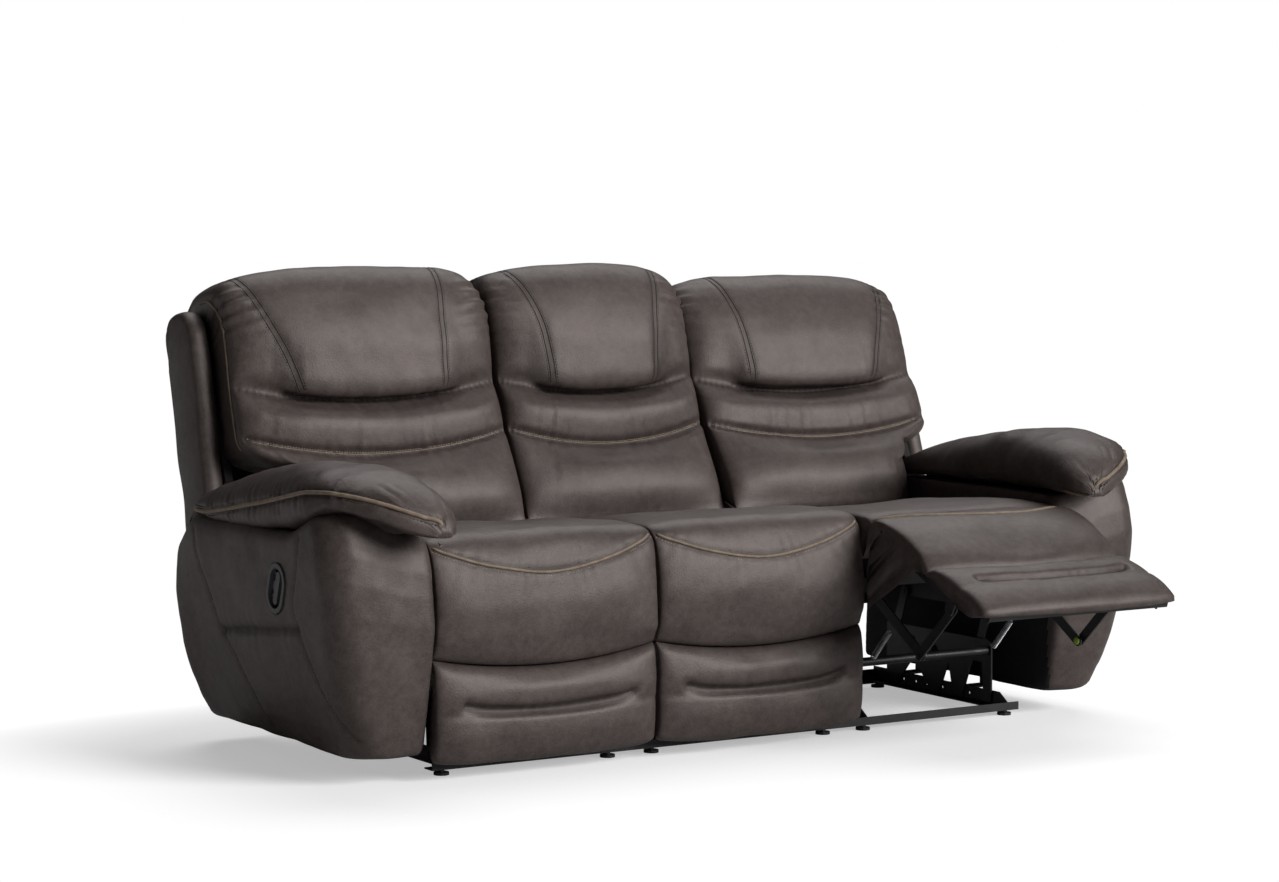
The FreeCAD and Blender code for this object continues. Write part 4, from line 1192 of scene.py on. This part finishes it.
@dataclass
class Arm:
    """One arm: body with its side panels, pad with its welt, and the inner lining."""

    side: int
    finishes: Finishes

    inner: float = 800.0
    rear: float = 655.0

    @property
    def place(self) -> Place:
        """The arm's place: local x counts from the sofa's middle."""
        return ArmPlace("left" if self.side < 0 else "right", self.side)

    def loops(self) -> Array:
        """Level sections of the body: rounded rectangles that bulge at half height.

        Returns:
            (levels, points, 3) rings in millimetres.
        """
        levels = np.concatenate([[0.0, 0.004, 0.012], np.linspace(0.025, 0.955, 74), [0.968, 0.98, 0.99, 0.996, 1.0]])
        z_plan = 55.0 + 450.0 * levels
        heights = [55, 110, 170, 250, 320, 380, 430, 470, 505]
        outer = np.interp(z_plan, heights, [946, 972, 992, 1012, 1024, 1029, 1030, 1029, 1024])
        front = np.interp(z_plan, heights, [-54, -70, -84, -99, -106, -106, -98, -84, -66])
        rim = np.interp(levels, [0.0, 0.004, 0.012, 0.025, 0.955, 0.968, 0.98, 0.99, 0.996, 1.0],
                        [9, 5, 2, 0, 0, 1.0, 3.0, 6.5, 11, 20])
        loops = []
        for z, o, fr, r in zip(z_plan, outer, front, rim):
            loops.append(self._loop(self.inner + 0.3 * r, o - r, fr + r, self.rear - 0.5 * r, z))
        return np.array(loops)

    @staticmethod
    def _loop(inner: float, outer: float, front: float, rear: float, z: float) -> Array:
        """One rounded rectangle: corner radii 17, 62, 34 and 12, with a slightly bowed front.

        Args:
            inner: x of the inner side.
            outer: x of the outer side.
            front: y of the front.
            rear: y of the rear.
            z: the level.

        Returns:
            The ring's points.
        """
        corners = ((inner, front, 17.0, 180.0, 270.0), (outer, front, 62.0, 270.0, 360.0),
                   (outer, rear, 34.0, 0.0, 90.0), (inner, rear, 12.0, 90.0, 180.0))
        parts = []
        for x, y, radius, a, b in corners:
            cx = x + radius if x == inner else x - radius
            cy = y + radius if y == front else y - radius
            angle = np.radians(np.linspace(a, b, 12))
            parts.append(np.stack([cx + radius * np.cos(angle), cy + radius * np.sin(angle)], 1))
        loop = np.concatenate(parts + [parts[0][:1]])
        run = run_along(loop)
        at = np.linspace(0.0, run[-1], 281)[:-1]
        x, y = np.interp(at, run, loop[:, 0]), np.interp(at, run, loop[:, 1])
        bow = np.clip((x - inner) / (outer - inner), 0, 1)
        y = y - 7.0 * np.sin(np.pi * bow) * bump(y, front, 30.0)
        return np.stack([x, y, np.full_like(x, z)], 1)

    def crown(self, x: Array, y: Array) -> Array:
        """Height of the body's top: level with the pad's seam, higher at the front shoulder, slanting at the rear.

        Args:
            x: across, in millimetres.
            y: depth.

        Returns:
            Z at each point.
        """
        shoulder = 48.0 * smooth(-y, -110.0, 55.0) * smooth(x, 815.0, 985.0)
        slope = np.clip((y - 555.0) / 100.0, 0.0, 1.0) * 82.0
        return 503.0 + shoulder - slope

    def body(self) -> None:
        """Arm body with a drawn-in side panel seam, a fold and a front seam."""
        grid = self.loops()
        share = (grid[..., 2] - 55.0) / 450.0
        top = self.crown(grid[..., 0], grid[..., 1])
        grid[..., 2] = 55.0 + share * (top - 55.0)
        inward = smooth(-grid[..., 1], -20.0, 45.0) * smooth(-grid[..., 0], -840.0, -812.0)
        grid[..., 0] -= 8.5 * inward * smooth(grid[..., 2], 40.0, 80.0)
        lid = grid[-1].mean(axis=0)
        rings = [lid + (grid[-1] - lid) * s for s in (0.85, 0.6, 0.3, 0.001)]
        for ring in rings:
            ring[:, 2] = self.crown(ring[:, 0], ring[:, 1])
        floor = grid[0].mean(axis=0)
        base = [floor + (grid[0] - floor) * s for s in (0.001, 0.5, 0.9)]
        shape = Surface(np.concatenate([base, grid, rings]))
        lines = [
            [(1027, 29, 500), (1029, 38, 440), (1027, 62, 370), (1022, 60, 330), (1010, 28, 240), (990, -30, 150),
             (960, -80, 78)],
            [(1022, 60, 309), (1018, 200, 296), (1016, 330, 283), (1014, 419, 270)],
            [(1027, 530, 470), (1024, 500, 400), (1016, 440, 300), (1010, 405, 250), (990, 350, 160), (965, 300, 75)],
        ]
        thread = Trim(f"{self.place.name}_arm_dark_stitches", self.finishes.dark_thread)
        snapped = []
        for number, line in enumerate(lines):
            line, _ = shape.snap(curve(line, 6.0))
            # The last number of each seam is the strength of its painted shade; the fold seam is painted darkest.
            depth, width, pleats, dark = ((2.4, 7.0, 0.3, 0.5), (7.0, 12.0, 0.8, 0.95), (2.0, 6.0, 0.3, 0.5))[number]
            shape.carve(line, depth, width, pleats, 30.0, 40.0, dark, 80 + number)
            snapped.append(line)
        shape.crumple(2.0, 190.0, 90 + self.side)
        shape.crumple(0.6, 80.0, 95 + self.side)
        kept = np.maximum(shape.grid[..., 0], self.inner - 0.5)
        shape.grid[..., 0] = np.where(shape.grid[..., 1] > 25.0, kept, shape.grid[..., 0])
        tilt = math.radians(18.0)
        y, z = shape.grid[..., 1] - 130.0, shape.grid[..., 2] - 387.0
        long, wide = z * math.cos(tilt) - y * math.sin(tilt), y * math.cos(tilt) + z * math.sin(tilt)
        ring = np.hypot(wide, np.maximum(np.abs(long) - 14.0, 0.0))
        flat = (shape.grid[..., 0] > 950.0) * smooth(-ring, -60.0, -40.0)
        shape.grid[..., 0] += (1029.0 - shape.grid[..., 0]) * flat
        shape.grid[..., 0] -= 29.5 * (flat > 0) * smooth(-ring, -36.5, -31.5)
        for line in (snapped[0], snapped[2]):
            line, up = shape.snap(line)
            thread.stitches(line, up, 4.0)
        name = self.place.name
        piece = shape.build(f"{name}_arm_cover", self.place, Zone.BASE, self.finishes.leather)
        piece.data.materials.append(self.finishes.lining)
        centres = np.empty(len(piece.data.polygons) * 3)
        piece.data.polygons.foreach_get("center", centres)
        centres = centres.reshape(-1, 3) * 1000.0
        lined = (np.abs(centres[:, 0]) < self.inner + 2.0) & (centres[:, 1] + FRAME_Y > -62.0) & (centres[:, 2] < 452.0)
        lined |= centres[:, 2] < 57.0
        piece.data.polygons.foreach_set("material_index", lined.astype(np.int32))
        self.settle(piece, [f"{name}_arm_body"], 0.8)
        self.settle(thread.build(self.place, Zone.BASE))

    def settle(self, piece: bpy.types.Object, nodes: Sequence[str] = (), fill: Optional[float] = None) -> None:
        """Lets a piece ride on the base and upholsters it."""
        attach(piece, "base")
        upholster(piece, nodes)

    def pad(self) -> None:
        """Arm pad: a puffed roll whose tip curls down at the front inner corner."""
        run = np.concatenate([[-198, -196, -192, -186, -178, -168, -156, -142, -126], np.arange(-110, 530, 7.0),
                              [534, 543, 550, 555, 559, 562]])
        top = np.interp(run, [-198, -192, -178, -150, -110, -60, 0, 80, 160, 260, 380, 470, 530, 562],
                        [520, 540, 562, 588, 611, 629, 639, 641, 636, 622, 600, 577, 556, 530])
        outer_seam = np.interp(run, [-198, -150, -110, -60, 0, 100, 200, 350, 470, 562],
                               [520, 534, 545, 549, 526, 503, 491, 485, 491, 503])
        inner_x = np.interp(run, [-198, -185, -160, -120, -60, 10, 90, 280, 380, 450, 562],
                            [806, 790, 778, 770, 768, 776, 790, 792, 799, 800, 807])
        outer_x = np.interp(run, [-198, -185, -160, -120, -70, 0, 200, 450, 540, 562],
                            [838, 876, 930, 978, 1012, 1029, 1031, 1030, 1022, 1010])
        seam = 506.0
        count = 150
        angle = np.linspace(0.0, 2 * np.pi, count, endpoint=False)[None, :]
        cx, rx = 0.5 * (inner_x + outer_x)[:, None], 0.5 * (outer_x - inner_x)[:, None]
        cosine, sine = np.cos(angle), np.sin(angle)
        square = lambda v, p: np.sign(v) * np.abs(v) ** p
        x = cx + rx * square(cosine, 0.82)
        nose = smooth(-run, 20.0, 110.0)[:, None]
        base = seam + (outer_seam[:, None] - seam) * smooth(x, 900.0 - 70.0 * nose, 1020.0 - 80.0 * nose)
        waist = base + 0.34 * (top[:, None] - base)
        up = waist + (top[:, None] - waist) * np.abs(square(sine, 0.9))
        down = waist - (waist - base) * np.abs(square(sine, 0.55))
        z = np.where(sine >= 0, up, down)
        grid = np.stack([x, np.broadcast_to(run[:, None], x.shape), z], -1)
        shape = Surface(grid)
        welt = curve([(1026, 548, 510), (1030, 480, 512), (1031, 380, 526), (1031, 285, 541), (1031, 190, 556),
                      (1031, 94, 574), (1029, 2, 592), (1020, -60, 600), (992, -105, 596), (946, -142, 581),
                      (896, -166, 560), (848, -176, 540), (804, -166, 523), (774, -130, 512)], 5.0)
        welt, _ = shape.snap(welt)
        shape.carve(welt, 3.0, 9.0, 3.0, 21.0, 34.0, 0.45, 99)
        shape.crumple(2.0, 150.0, 97 + self.side)
        shape.crumple(0.7, 60.0, 98 + self.side)
        welt, up_line = shape.snap(welt)
        name = self.place.name
        tube = Trim(f"{name}_arm_welt", self.finishes.welt)
        tube.welt(welt, up_line, 4.4, 2.0)
        thread = Trim(f"{name}_arm_pad_stitches", self.finishes.dark_thread)
        thread.stitches(welt, up_line, 9.5, 5.0, 7.5, 1.1)
        thread.stitches(welt, up_line, -9.5, 5.0, 7.5, 1.1)
        piece = shape.build(f"{name}_arm_pad_cover", self.place, Zone.BASE, self.finishes.leather)
        self.settle(piece, [f"{name}_arm_pad"], 0.7)
        for trim in (tube, thread):
            self.settle(trim.build(self.place, Zone.BASE))

    def build(self) -> None:
        """Builds the arm."""
        self.body()
        self.pad()


@dataclass(frozen=True)
class ArmPlace(Place):
    """Place whose local x counts from the sofa's middle."""

    def row(self, points: Array, zone: Zone) -> Array:
        """Moves points in millimetres to the sofa's frame in metres."""
        points = np.array(points, float)
        return np.stack([self.side * points[..., 0], points[..., 1] - FRAME_Y, points[..., 2]], axis=-1) / 1000.0


class Steelwork:
    """Finishes of the rigid solids, and the small bright pieces of the mechanism."""

    def __init__(self, finishes: Finishes) -> None:
        """Keeps the finishes."""
        self.finishes = finishes

    def dress(self) -> None:
        """Gives every carried-over solid its material."""
        for name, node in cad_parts.items():
            wood = "arm_frames" in name or "back_frame" in name or name == "mid_seat_frame"
            if "springs" in name:
                material = self.finishes.bright_steel
            elif wood:
                material = self.finishes.lining
            elif "handle" in name:
                material = self.finishes.handle
            elif name == "glide_feet":
                material = self.finishes.glide
            elif any(word in name for word in STEEL_WORDS) and "roll" not in name:
                material = self.finishes.black_steel
            else:
                material = self.finishes.leather
            node.data.materials.clear()
            node.data.materials.append(material)

    def springs(self, place: Place) -> None:
        """Two bright return springs of one end seat, wound round the line from their front to their rear eye.

        Args:
            place: the end seat.
        """
        trim = Trim(f"{place.name}_return_springs", self.finishes.bright_steel)
        share = np.linspace(0.0, 1.0, 420)
        coil = smooth(share, 0.0, 0.06) * smooth(-share, -1.0, -0.94)
        turn = 2.0 * np.pi * 24.0 * share
        for side in (-168.0, 168.0):
            start, end = np.array([side, -4.0, 228.0]), np.array([side, 62.0, 158.0])
            along = (end - start) / np.linalg.norm(end - start)
            up = np.cross(along, (1.0, 0.0, 0.0))
            ring = np.cos(turn)[:, None] * np.array([1.0, 0.0, 0.0]) + np.sin(turn)[:, None] * up
            wire = start + share[:, None] * (end - start) + ring * (6.0 * coil)[:, None]
            trim.welt(wire, ring + along * 0.01, 1.1, 0.0, 6)
        piece = trim.build(place, Zone.SEAT)
        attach(piece, place.body(Zone.SEAT))

    def bushings(self, place: Place) -> None:
        """Yellow-green plastic bushings on the lower pins of the push links, turned with their drive arms.

        Args:
            place: the end seat.
        """
        trim = Trim(f"{place.name}_push_bushings", self.finishes.bushing)
        for side in (-1.0, 1.0):
            line = np.array([[side * x, 94.0, 66.0] for x in (208.6, 208.8, 210.2, 211.8, 211.95)])
            trim.welt(line, np.tile([0.0, 0.0, 1.0], (5, 1)), 8.5, 0.0, 28)
        trim.points = [turned(part, (65.0, 357.0), place.opened) for part in trim.points]
        piece = trim.build(place, Zone.SEAT)
        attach(piece, f"{place.name}_drive")


@dataclass(frozen=True)
class Studio:
    """Camera, floor, backdrop light and lamps."""

    eye: tuple = (-3.73315, -5.62124 - FRAME_Y / 1000.0, 1.15296)
    yaw: float = 31.758
    pitch: float = 4.255
    focal: float = 3170.83

    def build(self) -> None:
        """Makes the camera, floor, world and lamps."""
        self.camera()
        self.floor()
        self.world()
        self.sun("front", (0.60, -1.0, 0.52), 3.2, 32.0)
        self.sun("above", (0.42, 0.5, 1.0), 1.25, 50.0)
        settings = bpy.context.scene.view_settings
        settings.view_transform = "Standard"

    def camera(self) -> None:
        """Camera at the photograph's angle and distance."""
        data = bpy.data.cameras.new("camera")
        data.sensor_width = 36.0
        data.lens = 36.0 * self.focal / 1279.0
        data.clip_end = 60.0
        made = bpy.data.objects.new("camera", data)
        made.location = self.eye
        made.rotation_euler = (math.radians(90.0 - self.pitch), 0.0, -math.radians(self.yaw))
        bpy.context.scene.collection.objects.link(made)
        bpy.context.scene.camera = made

    def floor(self) -> None:
        """Plain pale floor that keeps the shadow and goes white away from it."""
        size = 30.0
        mesh = bpy.data.meshes.new("floor")
        mesh.from_pydata([(-size, -size, 0), (size, -size, 0), (size, size, 0), (-size, size, 0)], [], [(0, 1, 2, 3)])
        graph = Graph("pale_floor")
        seen = graph.add("ShaderNodeLightPath", {}, {}, "Is Camera Ray")
        x = graph.add("ShaderNodeSeparateXYZ", {}, {0: graph.place()}, "X")
        y = graph.add("ShaderNodeSeparateXYZ", {}, {0: graph.place()}, "Y") - 0.06
        away = (x * x * x * x * 0.5 + y * y * y * y * 6.0).over(1.0, 3.6)
        graph.set(Base_Color=(seen * 0.24 + 0.54) * (1.0 - away * seen), Roughness=0.9, Specular_IOR_Level=0.0)
        graph.set(Emission_Color=seen * (away * 0.6 + 0.42), Emission_Strength=1.0)
        mesh.materials.append(graph.material)
        made = bpy.data.objects.new("floor", mesh)
        bpy.context.scene.collection.objects.link(made)

    def world(self) -> None:
        """Even light that the camera sees as white."""
        world = bpy.data.worlds.new("studio")
        bpy.context.scene.world = world
        world.use_nodes = True
        tree = world.node_tree
        background = tree.nodes["Background"]
        background.inputs["Color"].default_value = (1.0, 1.0, 1.0, 1.0)
        path = tree.nodes.new("ShaderNodeLightPath")
        scale = tree.nodes.new("ShaderNodeMath")
        scale.operation = "MULTIPLY_ADD"
        tree.links.new(path.outputs["Is Camera Ray"], scale.inputs[0])
        scale.inputs[1].default_value = 0.93
        scale.inputs[2].default_value = 0.07
        tree.links.new(scale.outputs[0], background.inputs["Strength"])

    def sun(self, name: str, towards: tuple, strength: float, width: float) -> None:
        """A wide soft light from far away.

        Args:
            name: object name.
            towards: direction in which it stands.
            strength: its light on a surface that faces it.
            width: its apparent width in degrees.
        """
        data = bpy.data.lights.new(name, "SUN")
        data.energy = strength
        data.angle = math.radians(width)
        made = bpy.data.objects.new(name, data)
        made.rotation_euler = Vector(towards).to_track_quat("Z", "Y").to_euler()
        bpy.context.scene.collection.objects.link(made)


def main() -> None:
    """Builds the studio, the seats, the arms and the steelwork."""
    logging.basicConfig(level=logging.INFO, format="%(message)s")
    Studio().build()
    finishes = Finishes()
    for place in PLACES:
        Seat(place, finishes).build()
    for side in (-1, 1):
        Arm(side, finishes).build()
    steelwork = Steelwork(finishes)
    steelwork.dress()
    for place in (PLACES[0], PLACES[2]):
        steelwork.springs(place)
        steelwork.bushings(place)


if __name__ == "__main__":
    main()
